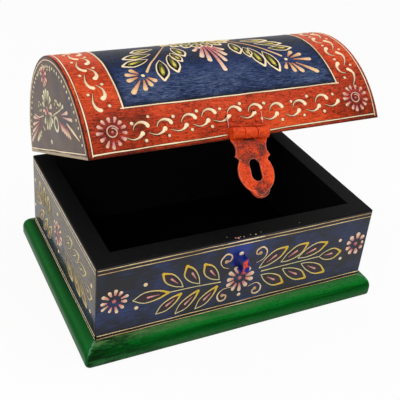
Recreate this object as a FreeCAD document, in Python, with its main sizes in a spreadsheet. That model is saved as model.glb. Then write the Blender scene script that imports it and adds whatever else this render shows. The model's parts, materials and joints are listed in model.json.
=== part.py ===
import FreeCAD, Part
import Sketcher
import math
import os
from FreeCAD import Placement, Rotation, Vector

# A small wooden box with a domed lid on two back hinges and a hasp in front.
# Millimetres and degrees. +X is the box's right, +Y its back, +Z up. The origin is
# the middle of the base board's underside. The lid stands ajar.

doc = FreeCAD.newDocument("painted_box")
sheet = doc.addObject("Spreadsheet::Sheet", "sizes")

DRIVING_SIZES = [
    # walls and base board
    ("body_width", 150),
    ("body_depth", 106),
    ("wall_height", 42),
    ("wall_thickness", 9.5),
    ("base_thickness", 11),
    ("base_overhang", 6),
    ("base_round", 6),
    ("foot_round", 1.5),
    ("base_corner_round", 2.5),
    ("arris_round", 0.8),
    # domed lid
    ("lid_height", 47.2),
    ("lid_gap", 0.8),
    ("lid_open_angle", 25.7),
    ("lid_end_thickness", 9.5),
    ("stave_thickness", 8),
    ("stave_count", 7),
    ("glue_line", 0.05),
    # back hinges
    ("hinge_inset", 30),
    ("hinge_width", 22),
    ("hinge_leaf_height", 11),
    ("hinge_leaf_thickness", 1),
    ("hinge_knuckle_radius", 2),
    ("hinge_pin_radius", 0.9),
    ("hinge_standoff", 0.4),
    ("hinge_drop", 2),
    ("leaf_seat", 0.1),
    # clearances in both kinds of hinge
    ("pin_running_fit", 0.05),
    ("pin_held_fit", 0.02),
    ("knuckle_gap", 0.3),
    # hasp
    ("hasp_width", 18.4),
    ("hasp_thickness", 0.9),
    ("hasp_plate_height", 9),
    ("hasp_knuckle_radius", 2.6),
    ("hasp_pin_radius", 1.1),
    ("hasp_standoff", 0.2),
    ("hasp_axis_height", 2),
    ("hasp_offset", 0.1),
    ("hasp_skew", 5.5),
    ("tongue_lift", 23.3),
    ("tongue_rest_gap", 0.5),
    ("tongue_length", 30.4),
    ("shoulder_drop", 2.8),
    ("waist_width", 15.6),
    ("waist_drop", 6.6),
    ("ear_width", 17.8),
    ("ear_drop", 10.6),
    ("neck_width", 14.2),
    ("neck_drop", 12.6),
    ("bow_width", 17.8),
    ("bow_drop", 18.8),
    ("lip_width", 8.6),
    ("lip_drop", 27),
    ("lip_band", 1.2),
    ("lip_rise", 0.9),
    ("slot_width", 5.6),
    ("slot_length", 10.8),
    ("slot_drop", 11.9),
    # strap staple
    ("staple_width", 3.2),
    ("staple_height", 8.4),
    ("staple_thickness", 1.1),
    ("staple_reach", 6),
    ("staple_depth", 7),
    ("staple_bend", 2.6),
    ("staple_fit", 0.05),
    # nails in the wood and tacks in the metal fittings
    ("nail_radius", 0.7),
    ("nail_length", 22),
    ("nail_head_radius", 1.4),
    ("nail_head_height", 0.8),
    ("nail_cover", 1.2),
    ("base_nail_set", 0.3),
    ("base_nail_spacing", 50),
    ("corner_nail_inset", 10.5),
    ("tack_radius", 0.55),
    ("tack_length", 6),
    ("tack_head_radius", 1.3),
    ("tack_head_height", 0.5),
    ("tack_spacing", 12),
    ("nail_fit", 0.05),
]

for row, (alias, value) in enumerate(DRIVING_SIZES, start=1):
    sheet.set(f"A{row}", alias)
    sheet.set(f"B{row}", str(value))
    sheet.setAlias(f"B{row}", alias)
doc.recompute()


def size(alias):
    return float(sheet.get(alias))


# Places and sizes that follow from the driving ones.
half_width = size("body_width") / 2
half_depth = size("body_depth") / 2
rim_height = size("base_thickness") + size("wall_height")
hinge_axis_offset = size("hinge_standoff") + size("hinge_knuckle_radius")
hinge_axis = Vector(0, half_depth + hinge_axis_offset, rim_height - size("hinge_drop"))
lid_pose = Placement(hinge_axis, Rotation(Vector(1, 0, 0), -size("lid_open_angle")))

# The lid is laid out closed, about the hinge axis, and turned open by its pose.
lid_floor = size("hinge_drop") + size("lid_gap")
dome_radius = (half_depth**2 + size("lid_height") ** 2) / (2 * size("lid_height"))
dome_sink = dome_radius - size("lid_height")
dome_axis = Vector(0, -hinge_axis_offset - half_depth, lid_floor - dome_sink)
dome_start = math.degrees(math.asin(dome_sink / dome_radius))
stave_step = (180 - 2 * dome_start) / size("stave_count")
DOME_RADIUS = "((sizes.body_depth / 2) ^ 2 + sizes.lid_height ^ 2) / (2 * sizes.lid_height)"

# The hasp is laid out about its own pin, askew on the lid's front.
hasp_axis_offset = size("hasp_standoff") + size("hasp_knuckle_radius")
lid_face = dome_axis.y - half_depth
hasp_axis = Vector(size("hasp_offset"), lid_face - hasp_axis_offset, lid_floor + size("hasp_axis_height"))
hasp_pose = Placement(hasp_axis, Rotation(Vector(0, 1, 0), size("hasp_skew")))

MARGIN = 5  # how far cutting shapes run past what they cut
LEAST_ROUND = 0.1  # the smallest inside bend
ALONG_X = Rotation(Vector(0, 1, 0), 90)

nodes = []


def node(item, label, pose=None):
    item.Label = label
    if pose is not None:
        item.Placement = pose
    nodes.append(item)


def bind(item, **expressions):
    for name, expression in expressions.items():
        item.setExpression(name, expression)


def add_box(name, length, width, height, corner, pose=None):
    item = doc.addObject("Part::Box", name)
    bind(item, Length=length, Width=width, Height=height)
    place = Placement(corner, Rotation())
    item.Placement = place if pose is None else pose * place
    return item


def add_x_cylinder(name, radius, length, middle, pose=None):
    """A round bar along X, centred on a point."""
    item = doc.addObject("Part::Cylinder", name)
    bind(item, Radius=radius, Height=length)
    doc.recompute()
    start = middle - Vector(item.Height.Value / 2, 0, 0)
    place = Placement(start, ALONG_X)
    item.Placement = place if pose is None else pose * place
    return item


def add_dome_sector(name, radius, length, middle_x, start_angle, sweep):
    """A pie slice of the dome; angles run from the back, over the top, to the front."""
    item = doc.addObject("Part::Cylinder", name)
    bind(item, Radius=radius, Height=length)
    item.Angle = sweep
    doc.recompute()
    start = dome_axis + Vector(middle_x - item.Height.Value / 2, 0, 0)
    item.Placement = Placement(start, Rotation(Vector(1, 0, 0), 90 + start_angle) * ALONG_X)
    return item


def cut(name, base, tool):
    item = doc.addObject("Part::Cut", name)
    item.Base = base
    item.Tool = tool
    return item


def fuse(name, pieces):
    item = doc.addObject("Part::MultiFuse", name)
    item.Shapes = pieces
    return item


def common(name, base, tool):
    item = doc.addObject("Part::Common", name)
    item.Base = base
    item.Tool = tool
    return item


def group(name, pieces):
    item = doc.addObject("Part::Compound", name)
    item.Links = pieces
    return item


def edge_numbers(shape, wanted):
    return [number for number, edge in enumerate(shape.Edges, start=1) if wanted(edge)]


def rounded(name, base, wanted, radius):
    """Round the edges of a piece that the wanted test picks."""
    doc.recompute()
    item = doc.addObject("Part::Fillet", name)
    item.Base = base
    item.Edges = [(number, radius, radius) for number in edge_numbers(base.Shape, wanted)]
    return item


def near(first, second):
    return abs(first - second) < 1e-4


def runs_along(edge, axis):
    ends = [vertex.Point for vertex in edge.Vertexes]
    return len(ends) == 2 and near(abs((ends[1] - ends[0]).normalize().dot(axis)), 1)


# Nails and tacks


def fastener(kind, grow=0):
    """A nail or tack with its head's top at the origin, pointing along +Z."""
    radius = size(kind + "_radius") + grow
    head = Part.makeCylinder(size(kind + "_head_radius") + grow, size(kind + "_head_height") + grow)
    length = size(kind + "_length") + grow
    point_length, tip_radius = 2 * radius, radius / 4
    shank = Part.makeCylinder(radius, length - point_length)
    point = Part.makeCone(radius, tip_radius, point_length, Vector(0, 0, length - point_length))
    return head.fuse([shank, point]).removeSplitter()


def driven(shape, head_at, direction):
    copy = shape.copy()
    copy.Placement = Placement(head_at, Rotation(Vector(0, 0, 1), direction))
    return copy


def drive(label, kind, spots, pose=None):
    """A group of fasteners as one node; returns the holes that they need."""
    metal = doc.addObject("Part::Feature", label)
    metal.Shape = Part.makeCompound([driven(fastener(kind), *spot) for spot in spots])
    node(metal, label, pose)
    holes = doc.addObject("Part::Feature", label + "_holes")
    holes.Shape = Part.makeCompound([driven(fastener(kind, size("nail_fit")), *spot) for spot in spots])
    return holes


def base_nail_spots():
    wall_middle = size("wall_thickness") / 2
    up = Vector(0, 0, 1)
    spots = []
    for y in (-half_depth + wall_middle, half_depth - wall_middle):
        for step in (-1, 0, 1):
            spots.append((Vector(step * size("base_nail_spacing"), y, size("base_nail_set")), up))
    for x in (-half_width + wall_middle, half_width - wall_middle):
        spots.append((Vector(x, 0, size("base_nail_set")), up))
    return spots


def corner_nail_spots():
    x = half_width - size("wall_thickness") / 2
    y = half_depth - size("nail_cover")
    low = size("base_thickness") + size("corner_nail_inset")
    high = rim_height - size("corner_nail_inset")
    spots = []
    for side in (-1, 1):
        for front in (-1, 1):
            for z in (low, high):
                spots.append((Vector(side * x, front * y, z), Vector(0, -front, 0)))
    return spots


def dome_spot(x, angle, radius):
    """A point over the dome and the direction from it straight in."""
    inward = Vector(0, -math.cos(math.radians(angle)), -math.sin(math.radians(angle)))
    return dome_axis + Vector(x, 0, 0) - inward * radius, inward


def lid_nail_spots():
    spots = []
    x = half_width - size("lid_end_thickness") / 2
    for index in range(int(size("stave_count"))):
        angle = dome_start + (index + 0.5) * stave_step
        for side in (-1, 1):
            spots.append(dome_spot(side * x, angle, dome_radius - size("nail_cover")))
    return spots


# Box body


def add_board(name, width, depth, height):
    """A sawn board: a centred rectangle, padded up."""
    body = doc.addObject("PartDesign::Body", name)
    sketch = body.newObject("Sketcher::SketchObject", name + "_outline")
    plane = [item for item in body.Origin.OriginFeatures if item.Role == "XY_Plane"][0]
    sketch.AttachmentSupport = [(plane, "")]
    sketch.MapMode = "FlatFace"
    rough = 10
    corners = [Vector(x * rough, y * rough, 0) for x, y in ((-1, -1), (1, -1), (1, 1), (-1, 1))]
    for index in range(4):
        sketch.addGeometry(Part.LineSegment(corners[index], corners[(index + 1) % 4]))
    for index in range(4):
        sketch.addConstraint(Sketcher.Constraint("Coincident", index, 2, (index + 1) % 4, 1))
    for index in (0, 2):
        sketch.addConstraint(Sketcher.Constraint("Horizontal", index))
        sketch.addConstraint(Sketcher.Constraint("Vertical", index + 1))
    sketch.addConstraint(Sketcher.Constraint("Symmetric", 0, 1, 1, 2, -1, 1))
    sketch.addConstraint(Sketcher.Constraint("DistanceX", 0, 1, 0, 2, 2 * rough))
    sketch.renameConstraint(sketch.ConstraintCount - 1, "width")
    sketch.addConstraint(Sketcher.Constraint("DistanceY", 1, 1, 1, 2, 2 * rough))
    sketch.renameConstraint(sketch.ConstraintCount - 1, "depth")
    bind(sketch, **{"Constraints.width": width, "Constraints.depth": depth})
    pad = body.newObject("PartDesign::Pad", name + "_pad")
    pad.Profile = sketch
    bind(pad, Length=height)
    body.Tip = pad
    doc.recompute()
    return body


def round_board(body, name, wanted, radius):
    base = body.Tip
    names = [f"Edge{number}" for number in edge_numbers(base.Shape, wanted)]
    fillet = body.newObject("PartDesign::Fillet", name)
    fillet.Base = (base, names)
    bind(fillet, Radius=radius)
    body.Tip = fillet
    doc.recompute()


def make_base_board(holes):
    board = add_board(
        "base_blank",
        "sizes.body_width + 2 * sizes.base_overhang",
        "sizes.body_depth + 2 * sizes.base_overhang",
        "sizes.base_thickness",
    )
    top = size("base_thickness")
    up = Vector(0, 0, 1)
    nose = "min(sizes.base_round; sizes.base_overhang; sizes.base_thickness - sizes.foot_round)"
    round_board(board, "base_corners", lambda edge: runs_along(edge, up), "sizes.base_corner_round")
    round_board(board, "base_nose", lambda edge: near(edge.BoundBox.ZMin, top), nose)
    round_board(board, "base_foot", lambda edge: near(edge.BoundBox.ZMax, 0), "sizes.foot_round")
    node(cut("base_board_drilled", board, holes), "base_board")


def make_long_wall(label, front, holes):
    wall = add_board(label + "_blank", "sizes.body_width", "sizes.wall_thickness", "sizes.wall_height")
    outer = front * size("wall_thickness") / 2
    top = size("wall_height")

    def shows(edge):
        box = edge.BoundBox
        on_face = near(box.YMin, outer) and near(box.YMax, outer)
        at_end = near(box.XMin, box.XMax) and near(box.ZMin, top)
        return (on_face and not near(box.ZMax, 0)) or at_end

    round_board(wall, label + "_arris", shows, "sizes.arris_round")
    wall.Placement.Base = Vector(0, front * (half_depth - size("wall_thickness") / 2), size("base_thickness"))
    node(cut(label + "_drilled", wall, holes), label)


def make_side_wall(label, side, holes):
    between = "sizes.body_depth - 2 * sizes.wall_thickness"
    wall = add_board(label + "_blank", "sizes.wall_thickness", between, "sizes.wall_height")
    outer = side * size("wall_thickness") / 2
    top = size("wall_height")

    def shows(edge):
        box = edge.BoundBox
        return near(box.XMin, outer) and near(box.XMax, outer) and near(box.ZMin, top)

    round_board(wall, label + "_arris", shows, "sizes.arris_round")
    wall.Placement.Base = Vector(side * (half_width - size("wall_thickness") / 2), 0, size("base_thickness"))
    node(cut(label + "_drilled", wall, holes), label)


# Staple: a strap bent to a U, its prongs let into the front wall


def staple_middle():
    """Where the tongue's slot comes when the lid is closed and the tongue hangs."""
    slot_middle = size("slot_drop") + size("slot_length") / 2
    skew = math.radians(size("hasp_skew"))
    closed_axis = hinge_axis + hasp_axis
    return closed_axis + Vector(-slot_middle * math.sin(skew), 0, -slot_middle * math.cos(skew))


def make_staple():
    middle = staple_middle()
    width, height, strap = size("staple_width"), size("staple_height"), size("staple_thickness")
    front = -half_depth - size("staple_reach")
    reach = "sizes.staple_reach + sizes.staple_depth"
    outer = add_box(
        "staple_outside",
        "sizes.staple_width",
        reach,
        "sizes.staple_height",
        Vector(middle.x - width / 2, front, middle.z - height / 2),
    )
    inner = add_box(
        "staple_inside",
        f"sizes.staple_width + {2 * MARGIN}",
        reach,
        "sizes.staple_height - 2 * sizes.staple_thickness",
        Vector(middle.x - width / 2 - MARGIN, front + strap, middle.z - height / 2 + strap),
    )

    def bend(edge):
        return runs_along(edge, Vector(1, 0, 0)) and edge.BoundBox.YMax < -half_depth

    outer_bend = min(size("staple_bend"), height / 2 - strap, size("staple_reach") - strap)
    bent = rounded("staple_bent", outer, bend, outer_bend)
    hollow = rounded("staple_hollow", inner, bend, max(outer_bend - strap, LEAST_ROUND))
    node(cut("staple_strap", bent, hollow), "staple")

    fit = size("staple_fit")
    slots = []
    for level in (-height / 2, height / 2 - strap):
        slots.append(
            add_box(
                "staple_slot",
                "sizes.staple_width + 2 * sizes.staple_fit",
                f"sizes.staple_depth + sizes.staple_fit + {MARGIN}",
                "sizes.staple_thickness + 2 * sizes.staple_fit",
                Vector(middle.x - width / 2 - fit, -half_depth - MARGIN, middle.z + level - fit),
            )
        )
    return slots


# Domed lid


def make_stave(label, index, below, holes):
    """One stave of the dome, counted from the back; the lowest two are cut level underneath."""
    last = int(size("stave_count")) - 1
    lowest = index in (0, last)
    lead = MARGIN if index == 0 else 0
    sweep = stave_step + (MARGIN if lowest else 0)
    start = dome_start + index * stave_step - lead
    slab = add_dome_sector(label + "_slab", DOME_RADIUS, "sizes.body_width", 0, start, sweep)
    bore_radius = DOME_RADIUS + " - sizes.stave_thickness"
    bore = add_x_cylinder(label + "_bore", bore_radius, f"sizes.body_width + {2 * MARGIN}", dome_axis)
    stave = cut(label + "_curved", slab, bore)
    if lowest:
        stave = cut(label + "_levelled", stave, below)

    def end_arris(edge):
        round_edge = isinstance(edge.Curve, Part.Circle) and near(edge.Curve.Radius, dome_radius)
        return round_edge and near(abs(edge.CenterOfMass.x), half_width)

    stave = rounded(label + "_arris", stave, end_arris, size("arris_round"))
    node(cut(label + "_drilled", stave, holes), label, lid_pose)


def make_lid_end(label, side, below, holes):
    radius = DOME_RADIUS + " - sizes.stave_thickness - sizes.glue_line"
    middle = dome_axis + Vector(side * (half_width - size("lid_end_thickness") / 2), 0, 0)
    disc = add_x_cylinder(label + "_disc", radius, "sizes.lid_end_thickness", middle)
    levelled = cut(label + "_levelled", disc, below)
    node(cut(label + "_drilled", levelled, holes), label, lid_pose)


def make_lid(holes):
    below = add_box(
        "below_lid",
        f"sizes.body_width + {2 * MARGIN}",
        f"sizes.body_depth + {2 * MARGIN}",
        "sizes.body_depth",
        Vector(-half_width - MARGIN, dome_axis.y - half_depth - MARGIN, lid_floor - size("body_depth")),
    )
    count = int(size("stave_count"))
    for index in range(count):
        make_stave(f"lid_stave_{count - index}", index, below, holes)
    make_lid_end("lid_left_end", -1, below, holes)
    make_lid_end("lid_right_end", 1, below, holes)


# Back hinges


def hinge_centres():
    """The middle of each hinge, set in from its end of the box."""
    centre = half_width - size("hinge_inset")
    return {"left": -centre, "right": centre}


def tack_steps():
    return (-size("tack_spacing") / 2, size("tack_spacing") / 2)


def hinge_body_tack_spots():
    y = half_depth + size("leaf_seat") + size("hinge_leaf_thickness") + size("tack_head_height")
    clear = size("hinge_knuckle_radius") + size("knuckle_gap")
    z = hinge_axis.z - (clear + size("hinge_leaf_height")) / 2
    return [
        (Vector(centre + step, y, z), Vector(0, -1, 0))
        for centre in hinge_centres().values()
        for step in tack_steps()
    ]


def dome_angle(height):
    """The dome angle at a height above the lid's lower edge."""
    return math.degrees(math.asin((dome_sink + height) / dome_radius))


def hinge_lid_tack_spots():
    head_radius = dome_radius + size("leaf_seat") + size("hinge_leaf_thickness") + size("tack_head_height")
    angle = dome_angle(size("hinge_leaf_height") / 2)
    return [
        dome_spot(centre + step, angle, head_radius)
        for centre in hinge_centres().values()
        for step in tack_steps()
    ]


def make_hinge(side, centre, body_holes, lid_holes):
    name = side + "_hinge"
    third = "sizes.hinge_width / 3 - sizes.knuckle_gap"
    shift = size("hinge_width") / 3
    plate_back = hinge_axis.y - hinge_axis_offset + size("leaf_seat")
    at = Vector(centre, hinge_axis.y, hinge_axis.z)
    radius, pin = "sizes.hinge_knuckle_radius", "sizes.hinge_pin_radius"
    through = f"sizes.hinge_width + {2 * MARGIN}"

    plate = add_box(
        name + "_plate",
        "sizes.hinge_width",
        "sizes.hinge_leaf_thickness",
        "sizes.hinge_leaf_height",
        Vector(centre - size("hinge_width") / 2, plate_back, at.z - size("hinge_leaf_height")),
    )
    notch_height = size("hinge_knuckle_radius") + size("knuckle_gap")
    notch = add_box(
        name + "_notch",
        "sizes.hinge_width / 3 + sizes.knuckle_gap",
        f"sizes.hinge_leaf_thickness + {2 * MARGIN}",
        "sizes.hinge_knuckle_radius + sizes.knuckle_gap",
        Vector(centre - (shift + size("knuckle_gap")) / 2, plate_back - MARGIN, at.z - notch_height),
    )
    knuckles = [
        add_x_cylinder(name + "_outer_knuckle", radius, third, at + Vector(way * shift, 0, 0))
        for way in (-1, 1)
    ]
    leaf = fuse(name + "_body_leaf_solid", [cut(name + "_notched", plate, notch)] + knuckles)
    held = add_x_cylinder(name + "_held_bore", pin + " + sizes.pin_held_fit", through, at)
    bored = cut(name + "_body_leaf_bored", leaf, held)
    node(cut(name + "_body_leaf_drilled", bored, body_holes), name + "_body_leaf")
    node(add_x_cylinder(name + "_pin", pin, "sizes.hinge_width", at), name + "_pin")

    # The lid's leaf hugs the dome, and a tab takes its middle knuckle down to the pin.
    lid_at = Vector(centre, 0, 0)
    top_angle = dome_angle(size("hinge_leaf_height"))
    inner = DOME_RADIUS + " + sizes.leaf_seat"
    outer = inner + " + sizes.hinge_leaf_thickness"
    sweep = top_angle - dome_start
    slab = add_dome_sector(name + "_slab", outer, "sizes.hinge_width", centre, dome_start, sweep)
    bore = add_x_cylinder(name + "_bore", inner, f"sizes.body_width + {2 * MARGIN}", dome_axis)
    tab = add_box(
        name + "_tab",
        third,
        "sizes.hinge_leaf_thickness",
        "sizes.hinge_drop + sizes.lid_gap + 2 * sizes.hinge_leaf_thickness",
        Vector(centre - (shift - size("knuckle_gap")) / 2, -hinge_axis_offset + size("leaf_seat"), 0),
    )
    knuckle = add_x_cylinder(name + "_middle_knuckle", radius, third, lid_at)
    leaf = fuse(name + "_lid_leaf_solid", [cut(name + "_curved", slab, bore), tab, knuckle])
    running = add_x_cylinder(name + "_running_bore", pin + " + sizes.pin_running_fit", through, lid_at)
    bored = cut(name + "_lid_leaf_bored", leaf, running)
    node(cut(name + "_lid_leaf_drilled", bored, lid_holes), name + "_lid_leaf", lid_pose)


# Hasp


def hasp_tack_spots():
    head_radius = dome_radius + size("leaf_seat") + size("hasp_thickness") + size("tack_head_height")
    clear = size("hasp_knuckle_radius") + size("knuckle_gap")
    height = (clear + size("hasp_plate_height")) / 2
    spots = []
    for step in tack_steps():
        at = hasp_pose.multVec(Vector(step, 0, height))
        angle = 180 - math.degrees(math.asin((at.z - dome_axis.z) / dome_radius))
        spots.append(dome_spot(at.x, angle, head_radius))
    return spots


def make_hasp_plate(holes):
    third = size("hasp_width") / 3
    clear = size("hasp_knuckle_radius") + size("knuckle_gap")
    deep = 2 * MARGIN + size("hasp_thickness")
    upper = add_box(
        "hasp_upper",
        "sizes.hasp_width",
        str(deep),
        "sizes.hasp_plate_height - sizes.hasp_knuckle_radius - sizes.knuckle_gap",
        Vector(-size("hasp_width") / 2, hasp_axis_offset - MARGIN, clear),
        hasp_pose,
    )
    neck = add_box(
        "hasp_neck",
        "sizes.hasp_width / 3 - sizes.knuckle_gap",
        str(deep),
        "2 * sizes.hasp_knuckle_radius",
        Vector(-(third - size("knuckle_gap")) / 2, hasp_axis_offset - MARGIN, -size("hasp_standoff")),
        hasp_pose,
    )
    outline = fuse("hasp_plate_outline", [upper, neck])
    inner = DOME_RADIUS + " + sizes.leaf_seat"
    outer = inner + " + sizes.hasp_thickness"
    front = 180 - dome_start
    low = dome_angle(2 * size("hasp_plate_height")) - dome_start
    slab = add_dome_sector("hasp_slab", outer, "2 * sizes.hasp_width", 0, front - low, low)
    bore = add_x_cylinder("hasp_dome_bore", inner, f"2 * sizes.hasp_width + {2 * MARGIN}", dome_axis)
    sheet_metal = common("hasp_sheet", cut("hasp_curved", slab, bore), outline)
    knuckle = add_x_cylinder(
        "hasp_middle_knuckle",
        "sizes.hasp_knuckle_radius",
        "sizes.hasp_width / 3 - sizes.knuckle_gap",
        Vector(),
        hasp_pose,
    )
    held = add_x_cylinder(
        "hasp_held_bore",
        "sizes.hasp_pin_radius + sizes.pin_held_fit",
        f"sizes.hasp_width + {2 * MARGIN}",
        Vector(),
        hasp_pose,
    )
    plate = cut("hasp_plate_bored", fuse("hasp_plate_solid", [sheet_metal, knuckle]), held)
    node(cut("hasp_plate_drilled", plate, holes), "hasp_plate", lid_pose)

    pin = add_x_cylinder("hasp_pin_bar", "sizes.hasp_pin_radius", "sizes.hasp_width", Vector())
    node(pin, "hasp_pin", lid_pose * hasp_pose * pin.Placement)


def tongue_outline(back):
    """The tongue's plate outline, hanging from the pin in the XZ plane."""

    def at(width, drop):
        return Vector(width / 2, back, -drop)

    notch = size("hasp_width") / 3 + size("knuckle_gap")
    notch_drop = size("hasp_knuckle_radius") + size("knuckle_gap")
    hollow_width = (size("ear_width") + 3 * size("neck_width")) / 4
    hollow_drop = (size("ear_drop") + size("neck_drop")) / 2
    edges = [Part.LineSegment(at(-notch, notch_drop), at(notch, notch_drop))]
    for side in (1, -1):
        shoulder = at(side * size("hasp_width"), size("shoulder_drop"))
        waist = at(side * size("waist_width"), size("waist_drop"))
        ear = at(side * size("ear_width"), size("ear_drop"))
        hollow = at(side * hollow_width, hollow_drop)
        neck = at(side * size("neck_width"), size("neck_drop"))
        bow = at(side * size("bow_width"), size("bow_drop"))
        lip = at(side * size("lip_width"), size("lip_drop"))
        edges.append(Part.LineSegment(at(side * notch, notch_drop), at(side * notch, 0)))
        edges.append(Part.LineSegment(at(side * notch, 0), at(side * size("hasp_width"), 0)))
        edges.append(Part.LineSegment(at(side * size("hasp_width"), 0), shoulder))
        edges.append(Part.Arc(shoulder, waist, ear))
        edges.append(Part.Arc(ear, hollow, neck))
        edges.append(Part.Arc(neck, bow, lip))
    lip_left = at(-size("lip_width"), size("lip_drop"))
    lip_right = at(size("lip_width"), size("lip_drop"))
    edges.append(Part.Arc(lip_left, at(0, size("tongue_length")), lip_right))
    return Part.Wire(Part.__sortEdges__([edge.toShape() for edge in edges]))


def lip_outline(front):
    """The turned lip: a crescent along the tongue's lower end."""
    outer, drop, band = size("lip_width") / 2, size("lip_drop"), size("lip_band")
    left, right = Vector(-outer, front, -drop), Vector(outer, front, -drop)
    tip = Vector(0, front, -size("tongue_length"))
    inner_left = left + Vector(band, 0, 0)
    inner_right = right - Vector(band, 0, 0)
    inner_tip = tip + Vector(0, 0, band)
    edges = [
        Part.Arc(left, tip, right),
        Part.LineSegment(right, inner_right),
        Part.Arc(inner_right, inner_tip, inner_left),
        Part.LineSegment(inner_left, left),
    ]
    return Part.Wire([edge.toShape() for edge in edges])


def tongue_slot(back):
    radius = size("slot_width") / 2
    top = size("slot_drop") + radius
    bottom = size("slot_drop") + size("slot_length") - radius
    top_left, top_right = Vector(-radius, back, -top), Vector(radius, back, -top)
    low_left, low_right = Vector(-radius, back, -bottom), Vector(radius, back, -bottom)
    edges = [
        Part.Arc(top_left, Vector(0, back, radius - top), top_right),
        Part.LineSegment(top_right, low_right),
        Part.Arc(low_right, Vector(0, back, -bottom - radius), low_left),
        Part.LineSegment(low_left, top_left),
    ]
    return Part.Wire([edge.toShape() for edge in edges])


def make_tongue():
    back = hasp_axis_offset - size("tongue_rest_gap")
    forward = Vector(0, -size("hasp_thickness"), 0)
    front = back - size("hasp_thickness")
    plate = Part.Face(tongue_outline(back)).extrude(forward)
    plate = plate.cut(Part.Face(tongue_slot(back)).extrude(forward))
    lip = Part.Face(lip_outline(front)).extrude(Vector(0, -size("lip_rise"), 0))
    third = size("hasp_width") / 3
    length = third - size("knuckle_gap")
    along = Vector(1, 0, 0)
    knuckles = []
    for start in (-1.5 * third, 0.5 * third + size("knuckle_gap")):
        knuckles.append(Part.makeCylinder(size("hasp_knuckle_radius"), length, Vector(start, 0, 0), along))
    bore_radius = size("hasp_pin_radius") + size("pin_running_fit")
    bore_start = Vector(-size("hasp_width"), 0, 0)
    bore = Part.makeCylinder(bore_radius, 2 * size("hasp_width"), bore_start, along)
    tongue = doc.addObject("Part::Feature", "hasp_tongue_solid")
    tongue.Shape = plate.fuse([lip] + knuckles).cut(bore).removeSplitter()
    lift = Placement(Vector(), Rotation(Vector(1, 0, 0), -size("tongue_lift")))
    node(tongue, "hasp_tongue", lid_pose * hasp_pose * lift)


def build():
    base_holes = drive("base_nails", "nail", base_nail_spots())
    corner_holes = drive("corner_nails", "nail", corner_nail_spots())
    lid_nail_holes = drive("lid_nails", "nail", lid_nail_spots(), lid_pose)
    hinge_body_holes = drive("hinge_body_tacks", "tack", hinge_body_tack_spots())
    hinge_lid_holes = drive("hinge_lid_tacks", "tack", hinge_lid_tack_spots(), lid_pose)
    hasp_holes = drive("hasp_tacks", "tack", hasp_tack_spots(), lid_pose)

    staple_slots = make_staple()
    wall_holes = group("wall_holes", [base_holes, corner_holes])
    make_base_board(base_holes)
    make_long_wall("front_wall", -1, group("front_wall_holes", [base_holes, corner_holes] + staple_slots))
    make_long_wall("back_wall", 1, group("back_wall_holes", [base_holes, corner_holes, hinge_body_holes]))
    make_side_wall("left_wall", -1, wall_holes)
    make_side_wall("right_wall", 1, wall_holes)
    make_lid(group("lid_holes", [lid_nail_holes, hinge_lid_holes, hasp_holes]))
    for side, centre in hinge_centres().items():
        make_hinge(side, centre, hinge_body_holes, hinge_lid_holes)
    make_hasp_plate(hasp_holes)
    make_tongue()


def check_and_write():
    doc.recompute()
    for item in doc.Objects:
        if "Invalid" in item.State or "Error" in item.State:
            raise RuntimeError(f"{item.Label} did not rebuild: {item.State}")
    for item in nodes:
        if item.Shape.isNull() or not item.Shape.isValid():
            raise RuntimeError(f"{item.Label} has no valid solid")
    os.makedirs("parts", exist_ok=True)
    for item in nodes:
        item.Shape.exportStep(f"parts/{item.Label}.step")
        print(f"{item.Label}: {len(item.Shape.Solids)} solid(s), {item.Shape.Volume:.1f} mm3")


build()
check_and_write()
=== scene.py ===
import json
import math
import random
from functools import partial

import bpy
import numpy as np
from mathutils import Matrix, Quaternion, Vector


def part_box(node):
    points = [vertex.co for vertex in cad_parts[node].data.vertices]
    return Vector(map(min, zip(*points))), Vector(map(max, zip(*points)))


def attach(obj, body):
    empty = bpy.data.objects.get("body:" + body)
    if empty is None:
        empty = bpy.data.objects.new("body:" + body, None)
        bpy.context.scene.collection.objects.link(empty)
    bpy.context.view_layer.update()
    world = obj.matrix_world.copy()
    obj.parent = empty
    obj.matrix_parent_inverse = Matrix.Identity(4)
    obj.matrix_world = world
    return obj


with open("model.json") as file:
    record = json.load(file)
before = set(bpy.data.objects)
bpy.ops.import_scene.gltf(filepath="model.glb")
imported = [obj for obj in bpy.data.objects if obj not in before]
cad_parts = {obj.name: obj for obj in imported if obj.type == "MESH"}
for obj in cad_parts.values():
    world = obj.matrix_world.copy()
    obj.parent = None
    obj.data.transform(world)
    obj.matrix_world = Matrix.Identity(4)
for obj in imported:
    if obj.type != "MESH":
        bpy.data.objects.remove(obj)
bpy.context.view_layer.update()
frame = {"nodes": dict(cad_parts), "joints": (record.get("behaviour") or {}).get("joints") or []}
scene = bpy.context.scene
mm = 0.001
hand = random.Random(11)  # the painter's small unevenness, the same each run

# Places read from the frame
wallLow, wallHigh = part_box("front_wall")
halfWidth = wallHigh.x
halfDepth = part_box("back_wall")[1].y
wallFoot = wallLow.z
rimTop = wallHigh.z
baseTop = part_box("base_board")[1].z
joints = {joint["name"]: joint for joint in frame["joints"]}
hingeAt = Vector(joints["lid_hinge"]["pos_m"])
lidOpen = -math.radians(joints["lid_hinge"]["range_deg"][0])
aboutHinge = Matrix.Translation(hingeAt) @ Matrix.Rotation(-lidOpen, 4, "X")
openLid = aboutHinge @ Matrix.Translation(-hingeAt)  # from the closed lid to the lid ajar
staves = sorted(name for name in frame["nodes"] if name.startswith("lid_stave_"))
closedHeights = [
    (openLid.inverted() @ vertex.co).z for name in staves for vertex in frame["nodes"][name].data.vertices
]
lidFloor = min(closedHeights)
lidHeight = max(closedHeights) - lidFloor
domeRadius = (halfDepth**2 + lidHeight**2) / (2 * lidHeight)
domeSink = domeRadius - lidHeight
domeAxisZ = lidFloor - domeSink
frontAngle = math.asin(domeSink / domeRadius)  # where the dome starts above its own axis, at the front
arcLength = domeRadius * (math.pi - 2 * frontAngle)
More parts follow.
